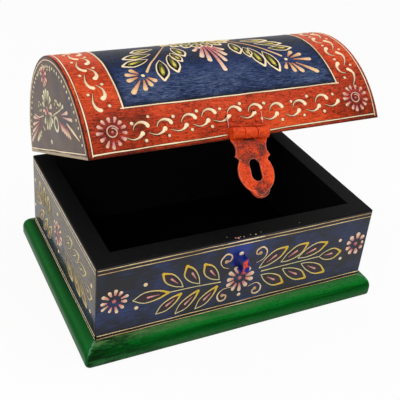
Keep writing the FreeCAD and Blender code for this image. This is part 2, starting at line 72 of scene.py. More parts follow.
arcMm = arcLength / mm
print(f"frame read: lid open {math.degrees(lidOpen):.1f} deg, dome radius {domeRadius / mm:.1f} mm")


# Panels: each maps millimetres along, up and out of a painted face to the frame
def turned(vector):
    return np.array(openLid.to_3x3() @ Vector(vector))


def flatPanel(name, body, slot, foot, along, up, out):
    def place(u, v, rise):
        return np.array(foot) + (np.outer(u, along) + np.outer(v, up) + np.outer(rise, out)) * mm

    return {"name": name, "body": body, "slot": slot, "place": place}


def wallPanel(name, foot, along, out):
    return flatPanel(name, "base", "wall_blue", (*foot, wallFoot), (*along, 0), (0, 0, 1), (*out, 0))


def endPanel(name, side):
    foot = openLid @ Vector((side * halfWidth, 0, lidFloor))
    axes = turned((0, side, 0)), turned((0, 0, 1)), turned((side, 0, 0))
    return flatPanel(name, "lid", "lid_end_blue", tuple(foot), *axes)


# Metal leaves that the border runs over, in millimetres on the dome
haspLeaf = {"middle": 0.1, "half": 9.2, "low": 4.8, "high": 11.1, "rise": 1.0, "leanDegrees": 5.5}
hingeLeaf = {"middle": 45.0, "half": 11.0, "high": 11.2, "rise": 1.1}
haspLean = math.tan(math.radians(haspLeaf["leanDegrees"]))


def leafLift(u, v):
    leaning = u - haspLeaf["middle"] - (v - haspLeaf["low"]) * haspLean
    onHasp = (np.abs(leaning) < haspLeaf["half"]) & (v > haspLeaf["low"]) & (v < haspLeaf["high"])
    aside = np.abs(np.abs(u) - hingeLeaf["middle"])
    onHinge = (aside < hingeLeaf["half"]) & (v > arcMm - hingeLeaf["high"])
    return onHasp * haspLeaf["rise"] + onHinge * hingeLeaf["rise"]


def domePanel(turn):
    def place(u, v, rise):
        u = np.asarray(u, float) * turn
        v = np.asarray(v, float) if turn > 0 else arcMm - np.asarray(v, float)
        angle = frontAngle + v * mm / domeRadius
        reach = domeRadius + (rise + leafLift(u, v)) * mm
        closed = np.stack((u * mm, -reach * np.cos(angle), domeAxisZ + reach * np.sin(angle)), axis=1)
        pose = np.array(openLid)
        return closed @ pose[:3, :3].T + pose[:3, 3]

    return {"name": "lid_top", "body": "lid", "slot": "lid_red", "place": place}


frontWall = wallPanel("front_wall", (0, -halfDepth), (1, 0), (0, -1))
backWall = wallPanel("back_wall", (0, halfDepth), (-1, 0), (0, 1))
leftWall = wallPanel("left_wall", (-halfWidth, 0), (0, -1), (-1, 0))
rightWall = wallPanel("right_wall", (halfWidth, 0), (0, 1), (1, 0))
rimFoot = 0, -halfDepth, rimTop
frontRim = flatPanel("front_rim", "base", "wall_blue", rimFoot, (1, 0, 0), (0, 1, 0), (0, 0, 1))
leftEnd = endPanel("lid_left_end", -1)
rightEnd = endPanel("lid_right_end", 1)
domeFront = domePanel(1)
domeBack = domePanel(-1)  # the same art turned half round

# Raised strokes: paint squeezed from a cone, so each is a low bead with round ends, laid on a dark halo that
# is partly glaze and partly painted shade
bead = {
    "sections": 6,
    "step": 0.8,
    "curveSteps": 12,
    "sink": 0.06,
    "rise": 0.27,
    "slope": 0.6,  # most height for its half width
    "waver": 0.1,
    "endShare": 0.45,  # most of a stroke that one round end takes
    "endCuts": np.array((0.04, 0.25, 0.6, 1.0)),  # where a round end is cut, as shares of its half width
    "dotCuts": np.radians((0, 25, 50, 72)),
    "dotSides": 12,
}
# a dark halo a little wider than each raised stroke: partly glaze, partly painted shade round the bead
stain = {"spread": 0.42, "rise": 0.03}
coats = {}


def layIn(panel, colour, points, faces, tones):
    key = panel["name"], colour
    if key not in coats:
        coats[key] = {"panel": panel, "points": [], "faces": [], "tones": [], "count": 0}
    coat = coats[key]
    coat["points"].append(points)
    coat["faces"].extend(tuple(index + coat["count"] for index in face) for face in faces)
    coat["tones"].append(tones)
    coat["count"] += len(points)


def trace(points):
    # a smooth line through a few set points
    spots = np.array(points, float)
    ends = np.vstack((2 * spots[0] - spots[1], spots, 2 * spots[-1] - spots[-2]))
    share = np.linspace(0, 1, bead["curveSteps"], endpoint=False)[:, None]
    pieces = []
    for index in range(len(spots) - 1):
        before, start, end, after = ends[index : index + 4]
        curve = 2 * start + (end - before) * share
        curve = curve + (2 * before - 5 * start + 4 * end - after) * share**2
        curve = curve + (3 * start - before - 3 * end + after) * share**3
        pieces.append(curve / 2)
    return np.vstack(pieces + [spots[-1:]])


def addStroke(panel, colour, points, widths, tones=(0.0, 1.0), rise=bead["rise"], glazedAndShaded=True):
    # each stroke is first laid on its wider dark halo of glaze and painted shade
    if glazedAndShaded:
        wide = [width + stain["spread"] for width in widths]
        addStroke(panel, "stain", points, wide, tones, stain["rise"], False)
    line = trace(points)
    run = np.concatenate(([0.0], np.cumsum(np.hypot(*np.diff(line, axis=0).T))))
    length = run[-1]
    cuts, longest = bead["endCuts"], bead["endShare"] * length
    first, last = min(widths[0], longest), min(widths[-1], longest)
    between = np.linspace(first, length - last, max(3, int(length / bead["step"])))
    stops = np.concatenate((first * cuts, between[1:-1], length - last * cuts[::-1]))
    u = np.interp(stops, run, line[:, 0])
    v = np.interp(stops, run, line[:, 1])
    heading = np.stack((np.gradient(u, stops), np.gradient(v, stops)))
    heading = heading / np.hypot(*heading)
    half = np.interp(stops / length, np.linspace(0, 1, len(widths)), widths)
    half = half * np.sqrt(1 - (1 - np.clip(stops / first, 0, 1)) ** 2)
    half = half * np.sqrt(1 - (1 - np.clip((length - stops) / last, 0, 1)) ** 2)
    crown = np.minimum(rise, bead["slope"] * half)
    ring = np.linspace(0, math.pi, bead["sections"] + 1)
    across = np.outer(half, np.cos(ring))
    height = np.outer(crown + bead["sink"], np.sin(ring)) - bead["sink"]
    ringU = u[:, None] - heading[1][:, None] * across
    ringV = v[:, None] + heading[0][:, None] * across
    skin = panel["place"](ringU.ravel(), ringV.ravel(), height.ravel())
    poles = panel["place"](line[[0, -1], 0], line[[0, -1], 1], np.full(2, -bead["sink"]))
    count, around = len(stops), len(ring)
    lastRow = (count - 1) * around
    faces = []
    for side in range(around):
        after = (side + 1) % around
        faces.append((count * around, after, side))
        for row in range(0, lastRow, around):
            faces.append((row + side, row + after, row + around + after, row + around + side))
        faces.append((lastRow + side, lastRow + after, count * around + 1))
    shade = np.interp(stops / length, np.linspace(0, 1, len(tones)), tones)
    shades = np.concatenate((np.repeat(shade, around), (tones[0], tones[-1])))
    layIn(panel, colour, np.vstack((skin, poles)), faces, shades)


def addDot(panel, colour, middle, radius, tone=0.6, rise=bead["rise"], glazedAndShaded=True):
    if glazedAndShaded:
        addDot(panel, "stain", middle, radius + stain["spread"], tone, stain["rise"], False)
    sides, cuts = bead["dotSides"], bead["dotCuts"]
    turns = np.linspace(0, 2 * math.pi, sides, endpoint=False)
    rings = [
        panel["place"](
            middle[0] + radius * math.cos(cut) * np.cos(turns),
            middle[1] + radius * math.cos(cut) * np.sin(turns),
            np.full(sides, (rise + bead["sink"]) * math.sin(cut) - bead["sink"]),
        )
        for cut in cuts
    ]
    top = panel["place"](np.array(middle[:1]), np.array(middle[1:]), np.array((rise,)))
    lastRow = (len(cuts) - 1) * sides
    faces = [tuple(reversed(range(sides)))]
    for side in range(sides):
        after = (side + 1) % sides
        for row in range(0, lastRow, sides):
            faces.append((row + side, row + after, row + sides + after, row + sides + side))
        faces.append((lastRow + side, lastRow + after, lastRow + sides))
    layIn(panel, colour, np.vstack(rings + [top]), faces, np.full(lastRow + sides + 1, tone))


# Motifs, in panel millimetres
evenPress = 0.9, 1.1  # how evenly the cone is pressed from dab to dab


def unsteady(point, reach=bead["waver"]):
    return point[0] + hand.uniform(-reach, reach), point[1] + hand.uniform(-reach, reach)


def onCircle(middle, radius, degrees, squash=1.0):
    angle = math.radians(degrees)
    return middle[0] + radius * math.cos(angle), middle[1] + squash * radius * math.sin(angle)


def along(start, end, share):
    return start[0] + (end[0] - start[0]) * share, start[1] + (end[1] - start[1]) * share


def shifted(points, step):
    return [(point[0] + step[0], point[1] + step[1]) for point in points]


def scaled(half, swell):
    return [half * share for share in swell]


def addDots(panel, dots, radius):
    for dot in dots:
        addDot(panel, "cream", dot, radius * hand.uniform(*evenPress))


ruled = {"step": 9.0, "waver": 0.14, "press": (0.8, 1.25), "tones": (0.45, 1.0)}


def addLine(panel, colour, start, end, half, tones=ruled["tones"]):
    # a long ruled line with the hand's slight waver
    steps = max(2, int(math.dist(start, end) / ruled["step"]))
    points = [unsteady(along(start, end, step / steps), ruled["waver"]) for step in range(steps + 1)]
    widths = [half * hand.uniform(*ruled["press"]) for step in range(steps + 1)]
    shades = [hand.uniform(*tones) for step in range(steps + 1)]
    addStroke(panel, colour, points, widths, shades)


dropShape = {"stops": (0, 0.3, 0.75, 1), "slim": 0.26}


def addDrop(panel, colour, thin, thick, half, tones=(0.0, 1.0), slim=dropShape["slim"]):
    widths = [half * (slim + (1 - slim) * share) for share in dropShape["stops"]]
    addStroke(panel, colour, (unsteady(thin), unsteady(thick)), widths, tones)


def addFan(panel, colour, root, tips, half, start, tones=(0.0, 1.0)):
    for tip in tips:
        wide = half * hand.uniform(*evenPress)
        end = along(root, tip, 1 - wide / math.dist(root, tip))
        addDrop(panel, colour, along(root, tip, start), end, wide, tones)


petalShake = {"turn": (-0.1, 0.1), "half": (0.85, 1.15), "reach": (0.92, 1.06)}
flowerCoil = {"turns": range(0, 480, 40), "closing": 1100, "widths": (0.36, 0.32), "tones": (0.3, 0.5)}


def addFlower(panel, middle, flower, turn, limit=math.inf, colour="pink"):
    near, far = flower["reach"]
    for petal in range(flower["petals"]):
        angle = turn + 360 * (petal + hand.uniform(*petalShake["turn"])) / flower["petals"]
        wide = flower["half"] * hand.uniform(*petalShake["half"])
        outer = far * hand.uniform(*petalShake["reach"]) - wide
        edgeward = math.cos(math.radians(angle)) * math.copysign(1, middle[0])
        if edgeward > 0:  # petals stop at the board's edge
            outer = min(outer, (limit - wide - abs(middle[0])) / edgeward)
        ends = onCircle(middle, near, angle), onCircle(middle, outer, angle)
        addDrop(panel, colour, *ends, wide, flower["tones"], flower["slim"])
    if flower["ring"]:
        closing = [(step, 1 - step / flowerCoil["closing"]) for step in flowerCoil["turns"]]
        ring = [onCircle(middle, flower["ring"] * share, turn + step) for step, share in closing]
        addStroke(panel, colour, ring, flowerCoil["widths"], flowerCoil["tones"])
    addDot(panel, colour, middle, flower["dot"], 0.1)


# Leaves: base, tip and how far each side bows
leafBows = (0.3, 0.82), (0.68, 1.0)  # share of the leaf's length, and of its bow there
leafWash = {"ends": (0.06, 0.94), "tip": 0.4, "fill": (0.9, 0.95), "rise": 0.05}


def leafSides(leaf):
    base, tip = np.array(leaf[:2]), np.array(leaf[2:4])
    run = tip - base
    square = np.array((-run[1], run[0])) / np.hypot(*run)
    sides = []
    for bow in (leaf[4], -leaf[5]):
        belly = [tuple(base + share * run + part * bow * square) for share, part in leafBows]
        sides.append((tuple(base), *belly, tuple(tip)))
    return sides


def washLeaf(panel, colour, leaf):
    girth = 0.5 * (leaf[4] + leaf[5])
    ends = [along(leaf[:2], leaf[2:4], share) for share in leafWash["ends"]]
    widths = leafWash["tip"], *scaled(girth, leafWash["fill"]), leafWash["tip"]
    addStroke(panel, colour, ends, widths, rise=leafWash["rise"], glazedAndShaded=False)
    return girth


wallLeaf = {
    "widths": (0.27, 0.3, 0.4, 0.7),
    "tones": (0.0, 0.15, 0.45, 1.0),
    "dab": {"tip": 0.965, "base": 0.035, "radius": 1.0},
    "vein": {"ends": (0.26, 0.62), "half": 0.6, "slim": 0.4},
}


def addWallLeaf(panel, leaf, thickTip, outline="yellow", wash="plum", vein="rose"):
    # a thin wash if it has one, an outline that swells at one end, and a drop inside
    base, tip = leaf[:2], leaf[2:4]
    if wash:
        washLeaf(panel, wash, leaf)
    for side in leafSides(leaf):
        points = [unsteady(point) for point in side]
        order = points if thickTip else points[::-1]
        addStroke(panel, outline, order, wallLeaf["widths"], wallLeaf["tones"])
    dab, inside = wallLeaf["dab"], wallLeaf["vein"]
    addDot(panel, outline, along(base, tip, dab["tip" if thickTip else "base"]), dab["radius"], 1.0)
    ends = [along(base, tip, share) for share in inside["ends"]]
    addDrop(panel, vein, *ends, inside["half"], slim=inside["slim"])


lidLeaf = {
    "girth": 2.6,  # a slimmer leaf has a finer outline
    "widths": (0.22, 0.32, 0.38, 0.66),
    "tones": (0.55, 1.0),
    "dab": {"tip": 0.97, "radius": 0.8},
    # shares of the leaf's length and girth
    "heart": {"ends": (0.16, 0.78), "fill": (0.24, 0.48, 0.52, 0.24), "rise": 0.14},
    "drop": {"ends": (0.36, 0.7), "fill": 0.34, "tones": (0.3, 1.0)},
}


def addLidLeaf(panel, leaf):
    # cream outline round a dark gap, an olive heart and a lemon drop
    base, tip = leaf[:2], leaf[2:4]
    girth = washLeaf(panel, "ink", leaf)
    fine = min(1.0, girth / lidLeaf["girth"])
    for side in leafSides(leaf):
        points = [unsteady(point) for point in side]
        addStroke(panel, "cream", points, scaled(fine, lidLeaf["widths"]), lidLeaf["tones"])
    dab, heart, inside = lidLeaf["dab"], lidLeaf["heart"], lidLeaf["drop"]
    addDot(panel, "cream", along(base, tip, dab["tip"]), fine * dab["radius"], 0.9)
    ends = [along(base, tip, share) for share in heart["ends"]]
    addStroke(panel, "olive", ends, scaled(girth, heart["fill"]), rise=heart["rise"], glazedAndShaded=False)
    ends = [along(base, tip, share) for share in inside["ends"]]
    addDrop(panel, "lemon", *ends, inside["fill"] * girth, inside["tones"])


# Walls: border lines, three flowers and two leafy sprays
wallArt = {
    "upperLines": (40.1, 38.1),
    "lowerLines": (2.4, 0.5),
    "lineInset": 0.6,
    "line": {"colour": "sand", "half": 0.25, "tones": (0.1, 0.9)},
    "flower": {
        "petals": 11, "reach": (3.2, 8.0), "half": 1.02, "slim": 0.5,
        "tones": (0.1, 1.0), "ring": 0, "dot": 1.15,
    },
    # middle, outer reach, half width of a petal, count and turn of each flower
    "flowers": (
        ((-66.2, 21.1), 8.0, 1.02, 11, 17),
        ((68.2, 22.1), 8.4, 1.45, 9, 5),
        ((-0.9, 17.6), 9.2, 1.3, 11, 12),
    ),
    "stems": (
        ((-38.8, 18.9), (-25.0, 18.6), (-11.2, 17.7)),
        ((45.6, 19.2), (28.0, 18.9), (11.0, 18.6)),
    ),
    "stem": {"half": 0.32, "swell": (1, 0.8, 0.8, 1.2), "tones": (0.1, 0.0, 0.3)},
    "leftLeaves": (
        (-31.6, 20.2, -42.7, 30.8, 2.7, 2.3),
        (-22.9, 19.7, -30.7, 32.4, 3.6, 2.1),
        (-12.4, 19.3, -21.3, 31.0, 3.2, 2.4),
    ),
    "leftLowLeaves": (
        (-38.8, 18.9, -57.3, 18.8, 2.9, 3.1),
        (-32.3, 16.4, -45.1, 7.2, 2.4, 2.4),
        (-23.0, 15.8, -34.9, 4.4, 2.5, 2.4),
        (-13.0, 15.6, -24.3, 4.4, 2.5, 2.3),
    ),
    "rightLeaves": (
        (9.5, 20.8, 25.0, 30.4, 3.2, 2.8),
        (22.2, 21.3, 37.3, 29.8, 2.9, 3.2),
        (32.2, 21.3, 49.5, 27.4, 3.2, 2.8),
        (45.6, 19.2, 59.3, 19.3, 3.1, 3.4),
        (11.4, 16.3, 25.6, 7.5, 2.8, 3.2),
        (23.9, 16.9, 39.5, 7.0, 2.8, 3.0),
        (35.0, 17.4, 51.0, 8.0, 2.7, 2.8),
    ),
    "dots": ((-51.1, 26.7), (-55.2, 14.1), (57.5, 26.6), (60.0, 14.4), (-0.1, 6.9)),
    "dotRadius": 1.1,
    "stapleDab": {"middle": (-1.6, 32.4), "radius": 1.35, "tone": 1.0},
    # upper lines laid again in brighter cream over the middle, near the staple
    "brighterLines": {
        "places": (-10.0, 0.5, 10.5), "halves": (0.4, 0.3),
        "swell": (0.6, 1, 0.7), "tones": (0.9, 1.0),
    },
    # paint dropped on the rim over the staple: place, distance from the front edge and radius
    "rimSpecks": {
        "rose": ((-5.6, 1.0, 0.5), (-4.2, 0.6, 0.7), (-2.9, 1.2, 0.35)),
        "sand": (
            (-9.4, 2.8, 0.25), (-1.2, 0.7, 0.3), (2.6, 1.1, 0.25),
            (5.2, 0.6, 0.35), (8.4, 1.4, 0.25), (31.0, 2.2, 0.25),
        ),
    },
    "rimSpeck": {"tone": 0.8, "rise": 0.06},
    "curl": {"half": 0.52, "swell": (0.3, 0.4, 0.7, 1, 0.9, 1), "tones": (0.6, 0.7, 0.1), "eye": 2.1},
    "curls": (
        ((-7.6, 24.9), (-11.0, 26.6), (-12.6, 30.4), (-9.8, 33.8), (-6.8, 32.4), (-7.2, 29.6), (-9.4, 29.4)),
        ((7.8, 24.6), (11.8, 26.6), (13.0, 30.6), (10.4, 33.6), (7.0, 32.2), (7.6, 29.8), (9.4, 30.2)),
        ((-4.6, 12.8), (-9.4, 12.8), (-12.4, 9.6), (-11.2, 5.8), (-8.2, 5.8), (-7.6, 8.4), (-9.6, 8.8)),
        ((4.6, 10.6), (9.0, 11.9), (12.2, 9.4), (11.6, 6.0), (8.6, 5.2), (7.2, 7.2), (8.8, 8.4)),
    ),
}


def addCurl(panel, points):
    curl = wallArt["curl"]
    widths = scaled(curl["half"], curl["swell"])
    addStroke(panel, "cream", [unsteady(point) for point in points], widths, curl["tones"])
    addDot(panel, "cream", points[-1], curl["eye"] * curl["half"], curl["tones"][-1])


def addStem(panel, points, stem, colour="yellow"):
    addStroke(panel, colour, points, scaled(stem["half"], stem["swell"]), stem["tones"])


def paintBorderLines(panel, half, line, gaps=()):
    reach = half / mm - wallArt["lineInset"]
    broken = sorted([-reach, reach] + [edge for gap in gaps for edge in gap])
    heights = [(height, broken) for height in wallArt["upperLines"]]
    heights += [(height, (-reach, reach)) for height in wallArt["lowerLines"]]
    for height, edges in heights:
        for start, end in zip(edges[::2], edges[1::2]):
            addLine(panel, line["colour"], (start, height), (end, height), line["half"], line["tones"])


def paintLongWall(panel, gaps=()):
    paintBorderLines(panel, halfWidth, wallArt["line"], gaps)
    edge = halfWidth / mm - wallArt["lineInset"]
    near = wallArt["flower"]["reach"][0]
    for middle, reach, half, petals, turn in wallArt["flowers"]:
        flower = {**wallArt["flower"], "reach": (near, reach), "half": half, "petals": petals}
        addFlower(panel, middle, flower, turn, edge)
    for points in wallArt["stems"]:
        addStem(panel, points, wallArt["stem"])
    for leaf in wallArt["leftLeaves"] + wallArt["rightLeaves"]:
        addWallLeaf(panel, leaf, True)
    for leaf in wallArt["leftLowLeaves"]:
        addWallLeaf(panel, leaf, False)
    addDots(panel, wallArt["dots"], wallArt["dotRadius"])
    for points in wallArt["curls"]:
        addCurl(panel, points)


# Side walls carry the same sprays, closed up to fit
sideArt = {
    "line": {"colour": "cream", "half": 0.2, "tones": (0.8, 1.0)},
    "flower": {"middle": (-6.0, 21.3), "turn": 8},
    "rightSpray": {"from": 9.5, "to": 5.0, "stretch": 0.86},
    "leftSpray": {"from": -12.4, "to": -17.0, "stretch": 0.74},
    "raise": 2.0,
    "dots": ((-5.1, 10.8), (-6.2, 33.0), (46.9, 28.0), (45.4, 11.9), (-49.0, 28.5), (-49.5, 12.5)),
}


def fitted(point, spray):
    return spray["to"] + (point[0] - spray["from"]) * spray["stretch"], point[1] + sideArt["raise"]


def paintSideWall(panel):
    paintBorderLines(panel, halfDepth, sideArt["line"])
    addFlower(panel, flower=wallArt["flower"], **sideArt["flower"])
    left, right = sideArt["leftSpray"], sideArt["rightSpray"]
    # the side strokes are tan, the yellow with a painted reflection in it
    for points, spray in zip(wallArt["stems"], (left, right)):
        addStem(panel, [fitted(spot, spray) for spot in points], wallArt["stem"], "tan")
    for part, spray in (("rightLeaves", right), ("leftLeaves", left), ("leftLowLeaves", left)):
        for leaf in wallArt[part]:
            narrow = (*fitted(leaf[:2], spray), *fitted(leaf[2:4], spray), *leaf[4:])
            wash = "ochre" if leaf[3] < leaf[1] else None  # only leaves that hang down are washed
            addWallLeaf(panel, narrow, part != "leftLowLeaves", "tan", wash, "tan")
    addDots(panel, sideArt["dots"], wallArt["dotRadius"])


hingeGaps = (-57.0, -33.0), (33.0, 57.0)  # the back's upper lines stop at the hinges
brighterLines = wallArt["brighterLines"]
paintLongWall(frontWall)
addDot(frontWall, "cream", **wallArt["stapleDab"], glazedAndShaded=False)
for height, half in zip(wallArt["upperLines"], brighterLines["halves"]):
    points = [(place, height) for place in brighterLines["places"]]
    addStroke(frontWall, "cream", points, scaled(half, brighterLines["swell"]), brighterLines["tones"])
for colour, specks in wallArt["rimSpecks"].items():
    for place, back, radius in specks:
        addDot(frontRim, colour, (place, back), radius, **wallArt["rimSpeck"], glazedAndShaded=False)
paintLongWall(backWall, hingeGaps)
paintSideWall(leftWall)
paintSideWall(rightWall)
print("walls painted")

# Lid top: a red border with a running scroll round a blue panel with sprays
lidArt = {
    # over: how far the front run passes the sides; tilt: its rise to the right; feet: where the sides start
    "outerLine": {
        "left": -72.9, "right": 73.0, "low": 1.7, "half": 0.31,
        "over": (0.0, 0.0), "tilt": 0.4, "feet": (-0.8, -0.6),
    },
    "panelLine": {
        "left": -55.1, "right": 56.0, "low": 20.6, "half": 0.36,
        "over": (-1.2, 1.4), "tilt": -0.3, "feet": (-0.6, -0.6),
    },
    "haspGap": (-9.6, 12.6),
    # where each comma of the running scroll ends, along the border and up from the front edge
    "upperCommas": (
        (-45.8, 10.4), (-34.7, 10.4), (-22.9, 11.1), (-12.7, 12.4), (0.0, 11.9),
        (11.0, 11.8), (22.1, 10.9), (34.9, 10.9), (47.9, 12.2),
    ),
    "lowerCommas": (
        (-49.3, 8.1), (-38.6, 8.9), (-28.2, 9.2), (-17.3, 10.0), (-7.1, 10.7),
        (6.0, 10.5), (18.2, 8.8), (30.4, 8.9), (42.1, 9.8), (53.4, 10.9),
    ),
    "upperComma": ((-7.6, -0.4), (-6.2, 1.8), (-3.8, 2.9), (-1.3, 2.1), (-0.1, 0.1)),
    "lowerComma": ((-7.9, -0.9), (-4.4, -2.1), (-1.6, -1.4), (0.0, 0.2)),
    "comma": {"half": 1.15, "swell": (0.2, 0.36, 0.62, 1), "tones": (0.1, 0.5, 0.95)},
    "lower": {"size": 0.85, "waist": 0.75, "head": 0.98},  # against the upper ones
    "innerSize": 1.15,
    "dots": (
        (-53.2, 13.1), (-45.2, 15.3), (-33.6, 13.9), (-21.9, 15.0), (-10.4, 14.6), (0.2, 15.9),
        (12.7, 14.6), (27.3, 13.7), (36.6, 15.3), (51.3, 14.6), (-48.2, 4.8), (-37.3, 5.6),
        (-26.0, 6.8), (-16.0, 6.9), (9.4, 7.2), (20.4, 5.6), (32.7, 6.2), (44.3, 6.8),
    ),
    "dotRadius": 0.82,
    # the scroll's climb at each side, which repeats up to the ridge
    "climb": 12.0,
    "climbs": 5,
    "ridgeDots": {"places": (-62.4, 63.0), "radius": 1.2},
    "leftOuter": ((-66.2, 29.6), (-67.3, 25.2), (-66.4, 21.8), (-64.2, 20.4)),
    "leftInner": ((-63.4, 34.4), (-61.2, 31.6), (-61.0, 28.2), (-63.2, 25.8)),
    "rightInner": ((63.8, 25.2), (61.2, 26.4), (60.8, 29.6), (63.0, 32.6)),
    "rightOuter": ((65.2, 17.9), (67.4, 21.2), (68.2, 25.0), (65.7, 28.2)),
    "leftDots": ((-60.6, 22.6), (-68.4, 29.4)),
    "rightDots": ((62.0, 22.6), (69.0, 29.9)),
    "rosettes": ((-62.4, 10.5), (64.0, 11.4)),
    "rosetteTurn": 15,
    "rosette": {
        "petals": 13, "reach": (4.0, 8.3), "half": 1.05, "slim": 0.45,
        "tones": (0.0, 0.65), "ring": 2.9, "dot": 0.7,
    },
    # the two sprays of the panel
    "stems": (
        ((-18.0, 66.5), (-23.5, 58.0), (-29.3, 50.3), (-33.4, 45.6), (-38.0, 38.9)),
        ((14.5, 66.5), (20.5, 58.5), (26.0, 51.8), (30.0, 46.4), (34.6, 40.9)),
    ),
    "stem": {"half": 0.4, "swell": (0.7, 0.9, 1, 1.7), "tones": (0.3, 0.5, 0.9)},
    "fanRoots": ((-40.4, 37.2), (35.4, 38.4)),
    "fanTips": (
        (
            (-46.6, 43.0), (-50.0, 39.2), (-50.4, 34.0), (-49.6, 25.8),
            (-42.4, 26.6), (-37.8, 28.8), (-34.0, 31.6),
        ),
        ((42.6, 45.4), (47.0, 42.0), (50.4, 36.6), (50.2, 27.0), (41.8, 27.4), (36.8, 28.0), (31.6, 30.6)),
    ),
    "fan": {"half": 1.36, "start": 0.26},
    "rootDab": {"radius": 0.95, "tone": 0.9},
    "leaves": (
        (-33.4, 49.4, -47.5, 45.0, 2.5, 2.2),
        (-30.0, 54.6, -45.0, 51.6, 2.2, 2.4),
        (-26.0, 62.0, -38.5, 58.6, 2.3, 2.4),
        (-28.4, 47.6, -31.5, 32.5, 2.9, 2.5),
        (-22.2, 52.0, -23.1, 37.0, 2.6, 2.6),
        (-20.4, 54.0, -17.8, 44.6, 1.9, 2.2),
        (-16.8, 61.0, -14.6, 49.1, 2.7, 2.4),
        (31.0, 49.4, 43.7, 47.8, 2.0, 2.6),
        (26.8, 56.2, 41.2, 53.4, 2.4, 2.2),
        (22.0, 62.6, 36.2, 59.4, 2.4, 2.3),
        (26.2, 47.0, 28.3, 30.8, 2.7, 2.7),
        (20.6, 52.0, 21.9, 34.9, 2.9, 2.6),
        (18.8, 53.0, 17.6, 43.0, 2.1, 1.8),
        (15.0, 60.6, 13.9, 46.6, 2.5, 2.6),
    ),
    "pinkFan": {
        "root": (0.0, 62.0),
        "tips": (
            (-9.0, 52.4), (-7.4, 45.0), (-4.4, 41.0), (0.6, 33.4), (4.2, 40.2), (7.0, 45.2), (8.6, 50.8),
        ),
        "half": 1.3,
        "start": 0.16,
        "tones": (0.0, 0.2, 0.9),
    },
    # rounds of leaves and petals over the ridge: their count, reach and half width
    "crown": {"leaves": (20, (11.6, 21.0), 2.3), "petals": (18, (8.8, 11.8), 0.8)},
}


def addComma(panel, points, size=1.0, waist=1.0):
    comma = lidArt["comma"]
    tail, *belly, head = comma["swell"]
    widths = scaled(size * comma["half"], (tail, *scaled(waist, belly), head))
    addStroke(panel, "cream", [unsteady(point) for point in points], widths, comma["tones"])


def paintScroll(panel):
    lower = lidArt["lower"]
    for end in lidArt["upperCommas"]:
        addComma(panel, shifted(lidArt["upperComma"], end))
    for end in lidArt["lowerCommas"]:
        addComma(panel, shifted(lidArt["lowerComma"], end), lower["size"], lower["waist"])
        addDot(panel, "cream", end, lower["head"] * lidArt["comma"]["half"], 0.8)
    for step in range(lidArt["climbs"]):
        climb = step * lidArt["climb"]
        for part in ("leftOuter", "leftInner", "rightInner", "rightOuter"):
            points = shifted(lidArt[part], (0.0, climb))
            if max(point[1] for point in points) < arcMm / 2:
                addComma(panel, points, lidArt["innerSize"] if part.endswith("Inner") else 1.0)
        for dot in shifted(lidArt["leftDots"] + lidArt["rightDots"], (0.0, climb)):
            if dot[1] < arcMm / 2:
                addDot(panel, "cream", unsteady(dot), lidArt["dotRadius"])
    addDots(panel, lidArt["dots"], lidArt["dotRadius"])


def paintLidLines(panel, gap):
    for line, broken in ((lidArt["outerLine"], gap), (lidArt["panelLine"], ())):
        low, half = line["low"], line["half"]
        edges = line["left"] + line["over"][0], *broken, line["right"] + line["over"][1]
        for start, end in zip(edges[::2], edges[1::2]):
            addLine(panel, "cream", (start, low), (end, low + line["tilt"]), half)
        meet = (line["right"] - line["left"]) / 2  # where the front's line and the back's meet at the ridge
        for side, foot, top in zip(("left", "right"), line["feet"], (-meet, meet)):
            addLine(panel, "cream", (line[side], low + foot), (top, arcMm / 2), half)


def paintPanel(panel):
    for points, root, tips in zip(lidArt["stems"], lidArt["fanRoots"], lidArt["fanTips"]):
        addStem(panel, points, lidArt["stem"], "peach")
        addDot(panel, "cream", root, **lidArt["rootDab"])
        addFan(panel, "peach", root, tips, **lidArt["fan"])
    for leaf in lidArt["leaves"]:
        addLidLeaf(panel, leaf)
    addFan(panel, "pink", **lidArt["pinkFan"])


def paintCrown(panel):
    # the flower over the ridge that both halves of the panel share
    middle = (0.0, arcMm / 2)
    for part, (count, reach, half) in lidArt["crown"].items():
        for number in range(count):
            ends = [onCircle(middle, radius, 360 * (number + 0.5) / count) for radius in reach]
            if part == "leaves":
                addLidLeaf(panel, (*ends[0], *ends[1], half, half))
            else:
                addDrop(panel, "lemon", *ends, half)
    addFlower(panel, middle, lidArt["rosette"], 0, colour="lemon")
    for place in lidArt["ridgeDots"]["places"]:
        addDot(panel, "cream", (place, middle[1]), lidArt["ridgeDots"]["radius"])


for panel, gap in ((domeFront, lidArt["haspGap"]), (domeBack, ())):
    paintLidLines(panel, gap)
    paintScroll(panel)
    for rosette in lidArt["rosettes"]:
        addFlower(panel, rosette, lidArt["rosette"], lidArt["rosetteTurn"])
    paintPanel(panel)
paintCrown(domeFront)

# Cracked paint along both sides of the hasp's plate
crack = {"half": 0.2, "aside": 0.96, "inset": 0.4, "tones": (0.4, 1.0), "rise": 0.1}
for side in (-1, 1):
    ends = []
    for height in (haspLeaf["low"] + crack["inset"], haspLeaf["high"] - crack["inset"]):
        lean = (height - haspLeaf["low"]) * haspLean
        ends.append((haspLeaf["middle"] + crack["aside"] * side * haspLeaf["half"] + lean, height))
    addStroke(domeFront, "rose", ends, (crack["half"], crack["half"]), crack["tones"], crack["rise"], False)
print("lid top painted")

